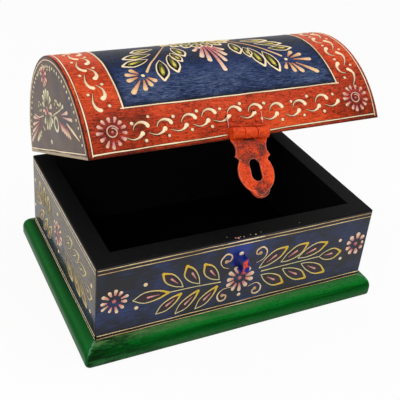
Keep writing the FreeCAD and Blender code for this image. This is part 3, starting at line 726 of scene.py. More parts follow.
# Lid ends: an arch of dashes over a bunch of flowers
endArt = {
    # clear: degrees kept free at each foot
    "arch": {
        "inset": 2.0, "clear": 3, "points": 25, "half": 0.29,
        "press": (0.85, 1.2), "tones": (0.4, 0.8),
    },
    "dash": {
        "inset": 5.0, "clear": 8, "count": 34, "turn": 0.8,
        "widths": (0.8, 0.85), "tones": (0.7, 1.0),
    },
    "floor": {"height": 2.1, "inset": 2.6},
    "heart": {"middle": (-5.0, 21.5), "radius": 1.1, "tone": 0.2},
    # colour, half width, start and tips of the petals round the heart
    "heartFans": (
        (
            "straw", 1.6, 0.36, (
                (-14.5, 26.0), (-12.8, 30.2), (-8.8, 32.8), (-3.8, 33.6),
                (1.4, 32.4), (4.4, 28.6), (5.0, 24.0),
            ),
        ),
        ("straw", 1.55, 0.36, ((-14.8, 14.8), (-10.4, 11.2), (-5.2, 10.6), (-0.4, 12.2), (3.6, 14.4))),
        ("pink", 1.0, 0.3, ((-14.6, 21.4), (-11.2, 19.8), (-6.8, 24.2), (-1.4, 19.4), (2.6, 18.8))),
    ),
    "ring": {"middle": (8.3, 14.9), "radius": 3.4, "squash": 0.95, "turns": range(0, 400, 40)},
    "ringStroke": {"widths": (0.8, 0.72), "tones": (0.5, 1.0)},
    "posy": {"half": 1.15, "start": 0.3},
    "posies": (
        ((12.6, 23.4), ((8.6, 24.6), (10.8, 27.4), (14.6, 27.0), (16.8, 24.6), (13.6, 21.4))),
        ((-19.4, 23.4), ((-23.6, 24.6), (-21.0, 27.4), (-16.0, 25.6), (-17.0, 20.6), (-21.6, 20.6))),
        ((-16.6, 14.6), ((-18.8, 12.4), (-15.4, 10.8))),
        ((17.4, 20.8), ((17.2, 25.4), (21.2, 25.6), (25.6, 23.6))),
        ((-23.9, 13.6), ((-35.0, 5.4), (-31.4, 6.4), (-27.4, 7.4), (-23.6, 8.8))),
    ),
    "stems": (
        ((3.3, 18.8), (9.4, 19.9), (16.1, 21.0), (20.6, 22.1)),
        ((-14.4, 19.1), (-25.0, 18.4), (-33.3, 20.1)),
    ),
    "stem": {"widths": (0.4, 0.36, 0.28), "tones": (0.4, 0.8)},
    "fan": {"half": 0.95, "start": 0.26, "tones": (0.0, 0.8)},
    "fans": (
        ((14.6, 18.6), ((31.2, 20.2), (36.8, 16.4))),
        ((-18.6, 17.0), ((-47.4, 6.2), (-43.8, 10.6), (-40.6, 14.6), (-37.4, 18.6))),
    ),
    # thin and thick end of each stroke in a row
    "feather": (
        ((14.2, 16.4), (18.8, 11.6)),
        ((16.6, 15.8), (21.8, 10.6)),
        ((19.0, 15.2), (24.6, 9.6)),
        ((21.6, 14.6), (27.4, 8.9)),
        ((24.4, 14.0), (30.4, 8.4)),
    ),
    "barb": {"half": 0.8, "tones": (0.0, 0.8)},
    "sliver": {
        "points": ((26.4, 15.2), (35.0, 11.6), (43.6, 7.8)),
        "widths": (0.5, 0.85, 0.25),
        "tones": (0.3, 0.9),
    },
    "top": {"middle": (-4.1, 38.4), "turn": 10},
    "topFlower": {
        "petals": 9, "reach": (1.8, 6.9), "half": 1.15, "slim": 0.4,
        "tones": (0.0, 0.7), "ring": 0, "dot": 1.0,
    },
    "topDrops": (((4.4, 39.4), (4.4, 41.0)), ((9.6, 38.8), (9.2, 40.4)), ((-15.4, 38.0), (-15.0, 39.8))),
    "topDropHalf": 1.2,
    "lowDot": {"middle": (-5.2, 6.3), "radius": 1.3, "tone": 0.8},
}


def archPoint(inset, degrees):
    radius = domeRadius / mm - inset
    angle = math.radians(degrees)
    return radius * math.cos(angle), radius * math.sin(angle) - domeSink / mm


def paintEnd(panel):
    low = math.degrees(frontAngle)
    arch, dash, floor, ring = endArt["arch"], endArt["dash"], endArt["floor"], endArt["ring"]
    turns = np.linspace(low + arch["clear"], 180 - arch["clear"] - low, arch["points"])
    widths = [arch["half"] * hand.uniform(*arch["press"]) for turn in turns]
    points = [unsteady(archPoint(arch["inset"], turn)) for turn in turns]
    addStroke(panel, "cream", points, widths, arch["tones"])
    for turn in np.linspace(low + dash["clear"], 180 - dash["clear"] - low, dash["count"]):
        ends = [unsteady(archPoint(dash["inset"], turn + step)) for step in (-dash["turn"], dash["turn"])]
        addStroke(panel, "straw", ends, dash["widths"], dash["tones"])
    reach = halfDepth / mm - floor["inset"]
    addLine(panel, "cream", (-reach, floor["height"]), (reach, floor["height"]), arch["half"])
    for colour, half, start, tips in endArt["heartFans"]:
        addFan(panel, colour, endArt["heart"]["middle"], tips, half, start)
    addDot(panel, "pink", **endArt["heart"])
    addFlower(panel, flower=endArt["topFlower"], **endArt["top"])
    for thin, thick in endArt["topDrops"]:
        addDrop(panel, "straw", thin, thick, endArt["topDropHalf"])
    addDot(panel, "straw", **endArt["lowDot"])
    for root, tips in endArt["fans"]:
        addFan(panel, "pink", root, tips, **endArt["fan"])
    for thin, thick in endArt["feather"]:
        addDrop(panel, "pink", thin, thick, **endArt["barb"])
    for root, tips in endArt["posies"]:
        addFan(panel, "straw", root, tips, **endArt["posy"])
    addStroke(panel, "cream", **endArt["sliver"])
    for points in endArt["stems"]:
        addStroke(panel, "cream", points, **endArt["stem"])
    points = [onCircle(ring["middle"], ring["radius"], turn, ring["squash"]) for turn in ring["turns"]]
    addStroke(panel, "straw", points, **endArt["ringStroke"])


paintEnd(leftEnd)
paintEnd(rightEnd)
print("lid ends painted")


# Materials
def linear(hexColour):
    # sRGB hex to the linear values that shaders take
    shares = [int(hexColour[place : place + 2], 16) / 255 for place in (1, 3, 5)]
    values = [share / 12.92 if share <= 0.04045 else ((share + 0.055) / 1.055) ** 2.4 for share in shares]
    return (*values, 1.0)


def perMetre(*sizes):
    # texture scales for features of so many millimetres, one for all axes or one each
    scales = [1 / (size * mm) for size in sizes]
    return scales if len(scales) > 1 else scales[0]


def feed(node, inputs):
    for socket, value in inputs.items() if isinstance(inputs, dict) else enumerate(inputs):
        if isinstance(value, bpy.types.NodeSocket):
            node.id_data.links.new(value, node.inputs[socket])
        else:
            node.inputs[socket].default_value = value


def addNode(tree, kind, inputs=(), stops=(), **settings):
    node = tree.nodes.new("ShaderNode" + kind)
    for name, value in settings.items():
        setattr(node, name, value)
    feed(node, inputs)
    for index, (place, colour) in enumerate(stops):
        points = node.color_ramp.elements
        point = points[index] if index < len(points) else points.new(place)
        point.position = place
        point.color = linear(colour)
    return node.outputs[0]


def newMaterial(name):
    material = bpy.data.materials.new(name)
    material.use_nodes = True
    tree = material.node_tree
    return material, tree.nodes["Principled BSDF"], partial(addNode, tree)


def dress(material, *names):
    for name in names:
        mesh = frame["nodes"][name].data
        mesh.materials.clear()
        mesh.materials.append(material)


soft = {"interpolation_type": "SMOOTHSTEP"}  # a step with eased ends
openPores = 0.46, 0.36  # grain noise from there down to there turns into an open pore


def brushStreaks(add, place, sizes, roughness, detail=5.0):
    # noise drawn out along the brush or the grain
    drawn = add("Mapping", {"Vector": place, "Scale": perMetre(*sizes)})
    return add("TexNoise", {"Vector": drawn, "Scale": 1.0, "Detail": detail, "Roughness": roughness})


# Oil paint squeezed thick from a cone: a satin bead, a little uneven in colour, with a dark halo of glaze
# and painted shade round it
# Each has its thin colour, thick colour and gloss
conePaints = {
    "cream": ("#c09468", "#f4dcb4", 0.4),
    "sand": ("#a88658", "#e0c898", 0.4),
    "yellow": ("#cfc496", "#d4ae24", 0.4),
    # tan: the front's yellow dulled by a painted pale reflection, used for the side walls' strokes
    "tan": ("#8c7c58", "#c8b478", 0.4),
    "olive": ("#26280a", "#7c7a1c", 0.1),
    "lemon": ("#8c8824", "#d6c24c", 0.3),
    "straw": ("#7c7350", "#ddd2ac", 0.4),
    "pink": ("#b8505c", "#ecccaa", 0.4),
    "rose": ("#a85a5e", "#dc9a92", 0.4),
    "peach": ("#b8683a", "#e8be8a", 0.4),
    "plum": ("#1d1218", "#2c1a20", 0.3),
    "ochre": ("#4a3818", "#7c6228", 0.3),
    "ink": ("#05070f", "#080c1a", 0.06),
    # the halo's colours: dark glaze with painted shade round each raised stroke
    "stain": ("#100806", "#22100c", 0.1),
}


coneSkin = {
    "speckle": 1.6,
    "uneven": 0.7,
    "thin": 0.05,
    "thick": 0.85,
    "grit": 0.5,
    "bump": {"Strength": 0.25, "Distance": 0.08 * mm},
    "roughness": 0.4,
}


def makeConePaint(colour):
    material, shader, add = newMaterial(f"cone_oil_paint_{colour}")
    dark, pale, gloss = conePaints[colour]
    tone = add("Attribute", attribute_name="tone").node.outputs["Fac"]
    place = add("TexCoord").node.outputs["Object"]
    speckle = add("TexNoise", {"Vector": place, "Scale": perMetre(coneSkin["speckle"]), "Detail": 3.0})
    shift = add("Math", (speckle, 0.5), operation="SUBTRACT")
    mixed = add("Math", (shift, coneSkin["uneven"], tone), operation="MULTIPLY_ADD")
    shade = add("ValToRGB", (mixed,), ((coneSkin["thin"], dark), (coneSkin["thick"], pale)))
    grit = add("TexNoise", {"Vector": place, "Scale": perMetre(coneSkin["grit"]), "Detail": 2.0})
    bump = add("Bump", {"Height": grit, **coneSkin["bump"]})
    feed(shader, {"Base Color": shade, "Normal": bump})
    feed(shader, {"Roughness": coneSkin["roughness"], "Specular IOR Level": gloss})
    return material


for (panelName, colour), coat in coats.items():
    mesh = bpy.data.meshes.new(f"{panelName}_{colour}_paint")
    mesh.from_pydata(np.vstack(coat["points"]).tolist(), [], coat["faces"])
    mesh.polygons.foreach_set("use_smooth", [True] * len(mesh.polygons))
    tone = mesh.attributes.new("tone", "FLOAT", "POINT")
    tone.data.foreach_set("value", np.concatenate(coat["tones"]).astype(np.float32))
    mesh.materials.append(bpy.data.materials.get(f"cone_oil_paint_{colour}") or makeConePaint(colour))
    piece = bpy.data.objects.new(f"{panelName}_{colour}_paint", mesh)
    scene.collection.objects.link(piece)
    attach(piece, coat["panel"]["body"])
print(f"raised paint laid: {len(coats)} pieces, {sum(coat['count'] for coat in coats.values())} points")

# Brushed oil paint over open-grained wood, rubbed back: dark pores and bright streaks run along the boards
lidPaint = {
    # colours by tone: umber, vermilion and orange on the border; ink, ultramarine and pale blue on the panel
    "red": ((0.28, "#52200f"), (0.48, "#b8371a"), (0.7, "#e25c2c")),
    "blue": ((0.3, "#060a16"), (0.52, "#152a54"), (0.86, "#56627e")),
    "panelRim": "#060a16",
    "edgeBrown": "#1e0d0b",
    "black": "#040404",
    "grain": (4.6, 0.26),  # length and width of a pore streak; real pores are 0.1 wide, too fine to show
    "cloud": 20.0,
    "speck": 1.1,
    "waver": 6.0,
    # from, to and the values there; the low corners towards both ends get painted shade
    "cornerShadeOut": (32 * mm, 72 * mm, 0.0, 0.2),
    "cornerShadeDown": (34 * mm, 8 * mm),
    # the panel gets painted shade towards the ridge and a painted highlight towards the front, where its
    # streaks show
    "rubAndHighlight": (54 * mm, 32 * mm, -0.17, 0.08),
    "highlightStreaks": (42 * mm, 28 * mm, 0.0, 1.2),
    "panelWaver": 0.9 * mm,
    "panelFade": (-0.25 * mm, 0.25 * mm),
    "panelRimFade": (3.4 * mm, 0.3 * mm, 0.0, 0.8),
    "edgeWaver": 0.8 * mm,
    "sideEdge": (halfWidth - 0.7 * mm, halfWidth - 0.2 * mm),
    "lowEdge": (1.6 * mm, 0.2 * mm, 0.0, 0.75),
    "skin": (-1.2 * mm, -0.6 * mm),  # wood deeper than this is the black inside
    "roughness": {"paint": 0.38, "pores": 0.2, "inside": 0.9},
    "bump": {"Strength": 0.5, "Distance": -0.12 * mm},
    "gloss": 0.06,
}


def lidPlace(add):
    # the closed lid's own axes, with the dome's axis as origin
    place = add("TexCoord").node.outputs["Object"]
    axis = openLid @ Vector((0, 0, domeAxisZ))
    shift = -(Matrix.Rotation(lidOpen, 3, "X") @ axis)
    return add("Mapping", {"Vector": place, "Location": shift, "Rotation": (lidOpen, 0, 0)})


def makeLidPaint():
    material, shader, add = newMaterial("brushed_oil_paint_lid")
    x, y, z = add("SeparateXYZ", (lidPlace(add),)).node.outputs
    frontward = add("Math", (y, -1.0), operation="MULTIPLY")
    angle = add("Math", (z, frontward), operation="ARCTAN2")
    climb = add("Math", (angle, frontAngle), operation="SUBTRACT")
    climb = add("Math", (climb, domeRadius), operation="MULTIPLY")
    spoke = add("CombineXYZ", (0.0, y, z))
    radius = add("VectorMath", (spoke,), operation="LENGTH").node.outputs["Value"]
    flat = add("CombineXYZ", (x, climb, radius))
    length, width = lidPaint["grain"]
    grain = brushStreaks(add, flat, (length, width, width), 0.65)
    cloud = add("TexNoise", {"Vector": flat, "Scale": perMetre(lidPaint["cloud"]), "Detail": 3.0})
    waver = add("TexNoise", {"Vector": flat, "Scale": perMetre(lidPaint["waver"]), "Detail": 2.0})
    offset = add("Math", (waver, 0.5), operation="SUBTRACT")
    pores = add("MapRange", (grain, *openPores), **soft)

    tone = add("Math", (cloud, 0.5, -0.22), operation="MULTIPLY_ADD")
    tone = add("Math", (grain, tone), operation="ADD")
    fine = {"Scale": perMetre(lidPaint["speck"]), "Detail": 3.0, "Roughness": 0.7}
    speck = add("TexNoise", {"Vector": flat, **fine})
    speck = add("MapRange", (speck, 0.5, 0.36, 0.0, 0.16), **soft)
    tone = add("Math", (tone, speck), operation="SUBTRACT")
    sideways = add("Math", (x,), operation="ABSOLUTE")
    # painted shade: the red border darkens towards the low corners at both ends
    cornerShadeOut = add("MapRange", (sideways, *lidPaint["cornerShadeOut"]), **soft)
    cornerShadeDown = add("MapRange", (climb, *lidPaint["cornerShadeDown"]), **soft)
    cornerShade = add("Math", (cornerShadeOut, cornerShadeDown), operation="MULTIPLY")
    red = add("ValToRGB", (add("Math", (tone, cornerShade), operation="SUBTRACT"),), lidPaint["red"])
    # painted light on the panel: darker towards the ridge, paler with its grain streaks towards the front
    rubAndHighlight = add("MapRange", (climb, *lidPaint["rubAndHighlight"]), **soft)
    highlightStreaks = add("MapRange", (climb, *lidPaint["highlightStreaks"]), **soft)
    streaks = add("Math", (grain, 0.5), operation="SUBTRACT")
    rubAndHighlight = add("Math", (highlightStreaks, streaks, rubAndHighlight), operation="MULTIPLY_ADD")
    blue = add("ValToRGB", (add("Math", (tone, rubAndHighlight), operation="ADD"),), lidPaint["blue"])

    inner = lidArt["panelLine"]
    low = inner["low"] * mm
    middle = (inner["left"] + inner["right"]) / 2 * mm
    reach = (inner["right"] - inner["left"]) / 2 * mm
    lean = add("MapRange", (climb, low, arcLength - low, middle, -middle))
    aside = add("Math", (x, lean), operation="SUBTRACT")
    aside = add("Math", (aside,), operation="ABSOLUTE")
    insideX = add("Math", (reach, aside), operation="SUBTRACT")
    fromRidge = add("Math", (climb, arcLength / 2), operation="SUBTRACT")
    fromRidge = add("Math", (fromRidge,), operation="ABSOLUTE")
    insideClimb = add("Math", (arcLength / 2 - low, fromRidge), operation="SUBTRACT")
    inside = add("Math", (insideX, insideClimb), operation="MINIMUM")
    inside = add("Math", (offset, lidPaint["panelWaver"], inside), operation="MULTIPLY_ADD")
    panelShare = add("MapRange", (inside, *lidPaint["panelFade"]), **soft)
    panelRim = add("MapRange", (inside, *lidPaint["panelRimFade"]), **soft)
    blue = add("MixRGB", (panelRim, blue, linear(lidPaint["panelRim"])))
    top = add("MixRGB", (panelShare, red, blue))

    edges = []
    for distance, fade in ((sideways, "sideEdge"), (climb, "lowEdge")):
        ragged = add("Math", (offset, lidPaint["edgeWaver"], distance), operation="MULTIPLY_ADD")
        edges.append(add("MapRange", (ragged, *lidPaint[fade]), **soft))
    edge = add("Math", edges, operation="MAXIMUM")
    top = add("MixRGB", (edge, top, linear(lidPaint["edgeBrown"])))
    depth = add("Math", (radius, domeRadius), operation="SUBTRACT")
    onTop = add("MapRange", (depth, *lidPaint["skin"]), **soft)
    shade = add("MixRGB", (onTop, linear(lidPaint["black"]), top))
    roughness = lidPaint["roughness"]
    rough = add("Math", (pores, roughness["pores"], roughness["paint"]), operation="MULTIPLY_ADD")
    rough = add("MapRange", (onTop, 0.0, 1.0, roughness["inside"], rough))
    bump = add("Bump", {"Height": pores, **lidPaint["bump"]})
    feed(shader, {"Base Color": shade, "Roughness": rough, "Normal": bump})
    feed(shader, {"Specular IOR Level": lidPaint["gloss"]})
    return material


# The same paint on the lid's ends under wax, which gives a warm bloom at low angles; plum on the rim
waxBloom = {"Sheen Weight": 0.16, "Sheen Roughness": 0.4, "Sheen Tint": linear("#cca05c")}
endPaint = {
    "ground": ((0.25, "#22243a"), (0.45, "#4a3020"), (0.65, "#4a4244")),  # navy, brown and grey, by tone
    "rim": "#521a1c",
    "rimFade": 0.8 * mm,
    "bare": "#b09a7c",
    "wornEdge": (domeSink + 0.1 * mm, domeSink - 0.5 * mm, 0.0, 0.8),
    "wornWaver": -3 * mm,
    "cloud": 14.0,
    "bump": {"Strength": 0.2, "Distance": 0.08 * mm},
    "surface": {"Roughness": 0.32, "Specular IOR Level": 0.08, **waxBloom},
}


def makeEndPaint():
    material, shader, add = newMaterial("waxed_oil_paint_lid_ends")
    spot = lidPlace(add)
    length, width = lidPaint["grain"]
    grain = brushStreaks(add, spot, (width, length, width), 0.6)
    cloud = add("TexNoise", {"Vector": spot, "Scale": perMetre(endPaint["cloud"]), "Detail": 4.0})
    tone = add("Math", (cloud, 1.2, -0.6), operation="MULTIPLY_ADD")
    tone = add("Math", (grain, 0.9, tone), operation="MULTIPLY_ADD")
    shade = add("ValToRGB", (tone,), endPaint["ground"])
    y, z = add("SeparateXYZ", (spot,)).node.outputs[1:]
    spoke = add("CombineXYZ", (0.0, y, z))
    radius = add("VectorMath", (spoke,), operation="LENGTH").node.outputs["Value"]
    edge = domeRadius - endArt["arch"]["inset"] * mm
    rim = add("MapRange", (radius, edge, edge + endPaint["rimFade"], 0.0, 0.85), **soft)
    shade = add("MixRGB", (rim, shade, linear(endPaint["rim"])))
    low = add("Math", (cloud, endPaint["wornWaver"], z), operation="MULTIPLY_ADD")
    worn = add("MapRange", (low, *endPaint["wornEdge"]), **soft)
    shade = add("MixRGB", (worn, shade, linear(endPaint["bare"])))
    bump = add("Bump", {"Height": grain, **endPaint["bump"]})
    feed(shader, {"Base Color": shade, "Normal": bump, **endPaint["surface"]})
    return material


# Matt black on the rim and inside: dead flat, with a little brush dust
blackPaint = {
    "ground": ((0.5, "#050505"), (0.8, "#14120f")),  # black and dust
    "dust": 3.0,
    "bump": {"Strength": 0.3, "Distance": 0.1 * mm},
    "surface": {"Roughness": 0.75, "Specular IOR Level": 0.1},
}


def makeBlackPaint():
    material, shader, add = newMaterial("matt_black_paint")
    place = add("TexCoord").node.outputs["Object"]
    fine = {"Scale": perMetre(blackPaint["dust"]), "Detail": 6.0, "Roughness": 0.7}
    dust = add("TexNoise", {"Vector": place, **fine})
    shade = add("ValToRGB", (dust,), blackPaint["ground"])
    bump = add("Bump", {"Height": dust, **blackPaint["bump"]})
    feed(shader, {"Base Color": shade, "Normal": bump, **blackPaint["surface"]})
    return material


def dressEndGrain(names, inner, outer):
    # stave ends lie in the same plane as the end boards and are painted with them
    dress(inner, *names)
    for name in names:
        mesh = frame["nodes"][name].data
        mesh.materials.append(outer)
        for face in mesh.polygons:
            flat = abs(face.normal.x) > 0.99 and abs(face.center.x) > halfWidth - 0.1 * mm
            face.material_index = 1 if flat else 0


lidWood, endWood, matBlack = makeLidPaint(), makeEndPaint(), makeBlackPaint()
dressEndGrain(staves, lidWood, endWood)
dressEndGrain(("lid_left_end", "lid_right_end"), matBlack, endWood)
print("lid wood finished")

# Brushed oil paint on the walls, in streaks of navy and lighter blue; the sides waxed, and browned towards
# the rim, partly in their own colour and partly as a painted reflection
stapleLow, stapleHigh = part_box("staple")
wallPaint = {
    # umber, ink, navy and light blue, by tone
    "blue": ((0.2, "#15100d"), (0.36, "#0b0d18"), (0.5, "#141f40"), (0.72, "#213770")),
    # brown, and the heights over which it rises on the side walls: partly the paint's colour, partly a
    # painted reflection
    "brown": "#66542a",
    "brownReflectionRise": (wallFoot + 9 * mm, wallFoot + 31 * mm, 0.05),
    "band": "#1c110b",
    "bandFade": (-0.4, 0.2),  # from inside to outside a line
    "grain": (7.0, 0.5),
    "cloud": 17.0,
    # two dabs at the staple, with how ragged they are and where they fade
    "patch": {
        "colour": "#1c3488",
        "middle": ((stapleLow.x + stapleHigh.x) / 2, -halfDepth, stapleHigh.z + 5 * mm),
        "ragged": 16 * mm,
        "fade": (18 * mm, 12 * mm, 0.0, 0.9),
    },
    "smear": {
        "colour": "#0e1c70",
        "middle": (stapleLow.x - 1 * mm, -halfDepth, stapleHigh.z - 2 * mm),
        "ragged": 4 * mm,
        "fade": (7 * mm, 5.5 * mm, 0.0, 0.85),
    },
    "poreRoughness": 0.15,
    "bump": {"Strength": 0.3, "Distance": -0.08 * mm},
}
longFinish = {"roughness": 0.38, "brownedWithReflection": 0.0, "surface": {"Specular IOR Level": 0.35}}
sideFinish = {
    "roughness": 0.09,
    "brownedWithReflection": 0.62,
    "surface": {**waxBloom, "Sheen Weight": 0.03, "Specular IOR Level": 0.1},
}


def makeWallPaint(name, alongX, finish):
    material, shader, add = newMaterial(name)
    place = add("TexCoord").node.outputs["Object"]
    z = add("SeparateXYZ", (place,)).node.outputs["Z"]
    length, width = wallPaint["grain"]
    grain = brushStreaks(add, place, (length, width, width) if alongX else (width, length, width), 0.62)
    cloud = add("TexNoise", {"Vector": place, "Scale": perMetre(wallPaint["cloud"]), "Detail": 4.0})
    tone = add("Math", (cloud, 0.8, -0.53), operation="MULTIPLY_ADD")
    tone = add("Math", (grain, 1.1, tone), operation="MULTIPLY_ADD")
    shade = add("ValToRGB", (tone,), wallPaint["blue"])
    # side walls: brown rising towards the rim, partly the paint's colour and partly a painted reflection
    # that leaves the foot dark navy
    if finish["brownedWithReflection"]:
        brown = add("MapRange", (z, *wallPaint["brownReflectionRise"], finish["brownedWithReflection"]), **soft)
        brown = add("Math", (brown, add("MapRange", (cloud, 0.3, 0.6, 0.6, 1.0))), operation="MULTIPLY")
        shade = add("MixRGB", (brown, shade, linear(wallPaint["brown"])))
    for part, noise in (("patch", cloud), ("smear", grain)):
        dab = wallPaint[part]
        away = add("VectorMath", (place, dab["middle"]), operation="DISTANCE").node.outputs["Value"]
        away = add("Math", (noise, dab["ragged"], away), operation="MULTIPLY_ADD")
        share = add("MapRange", (away, *dab["fade"]), **soft)
        shade = add("MixRGB", (share, shade, linear(dab["colour"])))
    # the board is dark from the inner line of each pair to its edge
    for line, outward in ((wallArt["upperLines"][1], 1), (wallArt["lowerLines"][0], -1)):
        start, end = [wallFoot + (line + outward * step) * mm for step in wallPaint["bandFade"]]
        share = add("MapRange", (z, start, end, 0.0, 0.85), **soft)
        shade = add("MixRGB", (share, shade, linear(wallPaint["band"])))
    pores = add("MapRange", (grain, *openPores), **soft)
    rough = add("Math", (pores, wallPaint["poreRoughness"], finish["roughness"]), operation="MULTIPLY_ADD")
    bump = add("Bump", {"Height": pores, **wallPaint["bump"]})
    feed(shader, {"Base Color": shade, "Roughness": rough, "Normal": bump, **finish["surface"]})
    return material


faceLimits = {"rim": 0.1 * mm, "upright": 0.15, "skin": 0.4 * mm}


def paintFaces(longPaint, sidePaint, black):
    # board ends at the corners are painted with the side; the rim, its round edge and the inside are black
    for name in ("front_wall", "back_wall", "left_wall", "right_wall"):
        dress(longPaint, name)
        mesh = frame["nodes"][name].data
        mesh.materials.append(sidePaint)
        mesh.materials.append(black)
        for face in mesh.polygons:
            upright = abs(face.normal.z) < faceLimits["upright"]
            below = face.center.z < rimTop - faceLimits["rim"]
            onLong = abs(face.center.y) > halfDepth - faceLimits["skin"]
            onSide = abs(face.center.x) > halfWidth - faceLimits["skin"]
            outside = 1 if onSide else 0 if onLong else 2
            face.material_index = outside if upright and below else 2


paintFaces(
    makeWallPaint("brushed_oil_paint_long_walls", True, longFinish),
    makeWallPaint("waxed_oil_paint_side_walls", False, sideFinish),
    matBlack,
)
print("walls finished")

# Gloss enamel over wood: streaky and deep green on the round of the edge, in bands of painted shade and
# painted reflection, pale at the foot partly from dust and partly from painted reflection; black inside
basePaint = {
    # share of the height, colour: painted shade and painted reflection down the round edge
    "shadeAndReflectionBands": (
        (0.05, "#3e5c40"), (0.32, "#246030"), (0.54, "#04541a"), (0.67, "#01400c"),
        (0.84, "#0a6c22"), (1.0, "#2c6c36"),
    ),
    "speck": "#0a1c0c",
    # deep: painted shade on the sides; dirt: dirt with painted shade along the walls; dust: dust with a
    # painted reflection; mint: wear with a painted highlight
    "sideShadeGreen": "#02541a",
    "dirtAndShade": "#16301a",
    "dust": "#647c4c",
    "mintWearAndHighlight": "#8cc09a",
    "black": "#040404",
    # sizes along the edge and across it
    "brush": (28.0, 0.7, 0.7),
    "smudge": (10.0, 2.2, 2.2),
    "cloud": 12.0,
    "fleck": 0.9,
    "sway": {"brush": 0.4, "cloud": 0.2},
    "sideShadeShare": 0.6,
    # from, to and the shares there
    "byWall": (4.4 * mm, 0.8 * mm, 0.0, 0.8),
    "backward": (-45 * mm, 5 * mm, 0.2, 1.0),
    "dustAndReflection": (50 * mm, -30 * mm, 0.1, 0.8),
    "grimy": (-30 * mm, -72 * mm, 0.0, 0.9),
    "mitre": (1.3 * mm, 0.0, 0.0, 0.4),
    "mitreFoot": (0.5 * baseTop, 0.75 * baseTop),
    "boxEdge": (-4 * mm, -5 * mm),
    "boxFloor": (baseTop - 1 * mm, baseTop - 0.5 * mm),
    "roughness": (0.2, 0.9),
    "bump": {"Strength": 0.25, "Distance": 0.1 * mm},
    "gloss": 0.015,
}


def makeBasePaint():
    material, shader, add = newMaterial("gloss_enamel_green")
    place = add("TexCoord").node.outputs["Object"]
    x, y, z = add("SeparateXYZ", (place,)).node.outputs
    aside = add("Math", (add("Math", (x,), operation="ABSOLUTE"), halfWidth), operation="SUBTRACT")
    ahead = add("Math", (add("Math", (y,), operation="ABSOLUTE"), halfDepth), operation="SUBTRACT")
    out = add("Math", (aside, ahead), operation="MAXIMUM")
    onSide = add("Math", (aside, ahead), operation="GREATER_THAN")
    onLong = add("Math", (1.0, onSide), operation="SUBTRACT")
    stroke = add("CombineXYZ", (add("MapRange", (onSide, 0.0, 1.0, x, y)), out, z))
    brush = brushStreaks(add, stroke, basePaint["brush"], 0.6)
    smudge = brushStreaks(add, stroke, basePaint["smudge"], 0.65, 4.0)
    cloud = add("TexNoise", {"Vector": place, "Scale": perMetre(basePaint["cloud"]), "Detail": 3.0})
    # the greens by height are painted shade and painted reflection round the edge, swayed by brush and cloud
    height = add("Math", (z, 1 / baseTop), operation="MULTIPLY")
    for noise, part in ((brush, "brush"), (cloud, "cloud")):
        shift = add("Math", (noise, 0.5), operation="SUBTRACT")
        height = add("Math", (shift, basePaint["sway"][part], height), operation="MULTIPLY_ADD")
    shade = add("ValToRGB", (height,), basePaint["shadeAndReflectionBands"])
    fine = {"Scale": perMetre(basePaint["fleck"]), "Detail": 4.0, "Roughness": 0.7}
    fleck = add("TexNoise", {"Vector": place, **fine})
    fleck = add("MapRange", (fleck, 0.48, 0.36, 0.0, 0.5), **soft)
    # the sides get a painted shade of deeper green than front and back, and dirt with painted shade gathers
    # along their walls, most at the back
    sideShade = add("Math", (onSide, basePaint["sideShadeShare"]), operation="MULTIPLY")
    byWall = add("MapRange", (out, *basePaint["byWall"]), **soft)
    wallDirtAndShade = add("MapRange", (y, *basePaint["backward"]), **soft)
    wallDirtAndShade = add("Math", (wallDirtAndShade, byWall), operation="MULTIPLY")
    wallDirtAndShade = add("Math", (wallDirtAndShade, onSide), operation="MULTIPLY")
    # on front and back dust with a painted reflection lies along the wall, and grime round the left corners
    dustAndReflection = add("Math", (byWall, add("MapRange", (x, *basePaint["dustAndReflection"]))), operation="MULTIPLY")
    grimy = add("MapRange", (x, *basePaint["grimy"]), **soft)
    smudged = []
    for share, lean in ((dustAndReflection, (0.36, 0.6)), (grimy, (0.62, 0.42))):
        share = add("Math", (share, add("MapRange", (smudge, *lean))), operation="MULTIPLY")
        smudged.append(add("Math", (share, onLong), operation="MULTIPLY"))
    # the ridge where two edges meet is rubbed pale and has a painted highlight
    skew = add("Math", (add("Math", (aside, ahead), operation="SUBTRACT"),), operation="ABSOLUTE")
    ridge = add("MapRange", (skew, *basePaint["mitre"]), **soft)
    worn = add("MapRange", (brush, 0.4, 0.6), **soft)
    raised = add("MapRange", (z, *basePaint["mitreFoot"]), **soft)
    ridge = add("Math", (add("Math", (ridge, worn), operation="MULTIPLY"), raised), operation="MULTIPLY")
    within = add("MapRange", (out, *basePaint["boxEdge"]))
    inZ = add("MapRange", (z, *basePaint["boxFloor"]))
    inBox = add("Math", (within, inZ), operation="MULTIPLY")
    layers = (
        (fleck, "speck"), (sideShade, "sideShadeGreen"), (wallDirtAndShade, "dirtAndShade"), (smudged[0], "dust"),
        (smudged[1], "speck"), (ridge, "mintWearAndHighlight"), (inBox, "black"),
    )
    for share, colour in layers:
        shade = add("MixRGB", (share, shade, linear(basePaint[colour])))
    rough = add("MapRange", (inBox, 0.0, 1.0, *basePaint["roughness"]))
    bump = add("Bump", {"Height": brush, **basePaint["bump"]})
    feed(shader, {"Base Color": shade, "Roughness": rough, "Normal": bump})
    feed(shader, {"Specular IOR Level": basePaint["gloss"]})
    return material


dress(makeBasePaint(), "base_board")

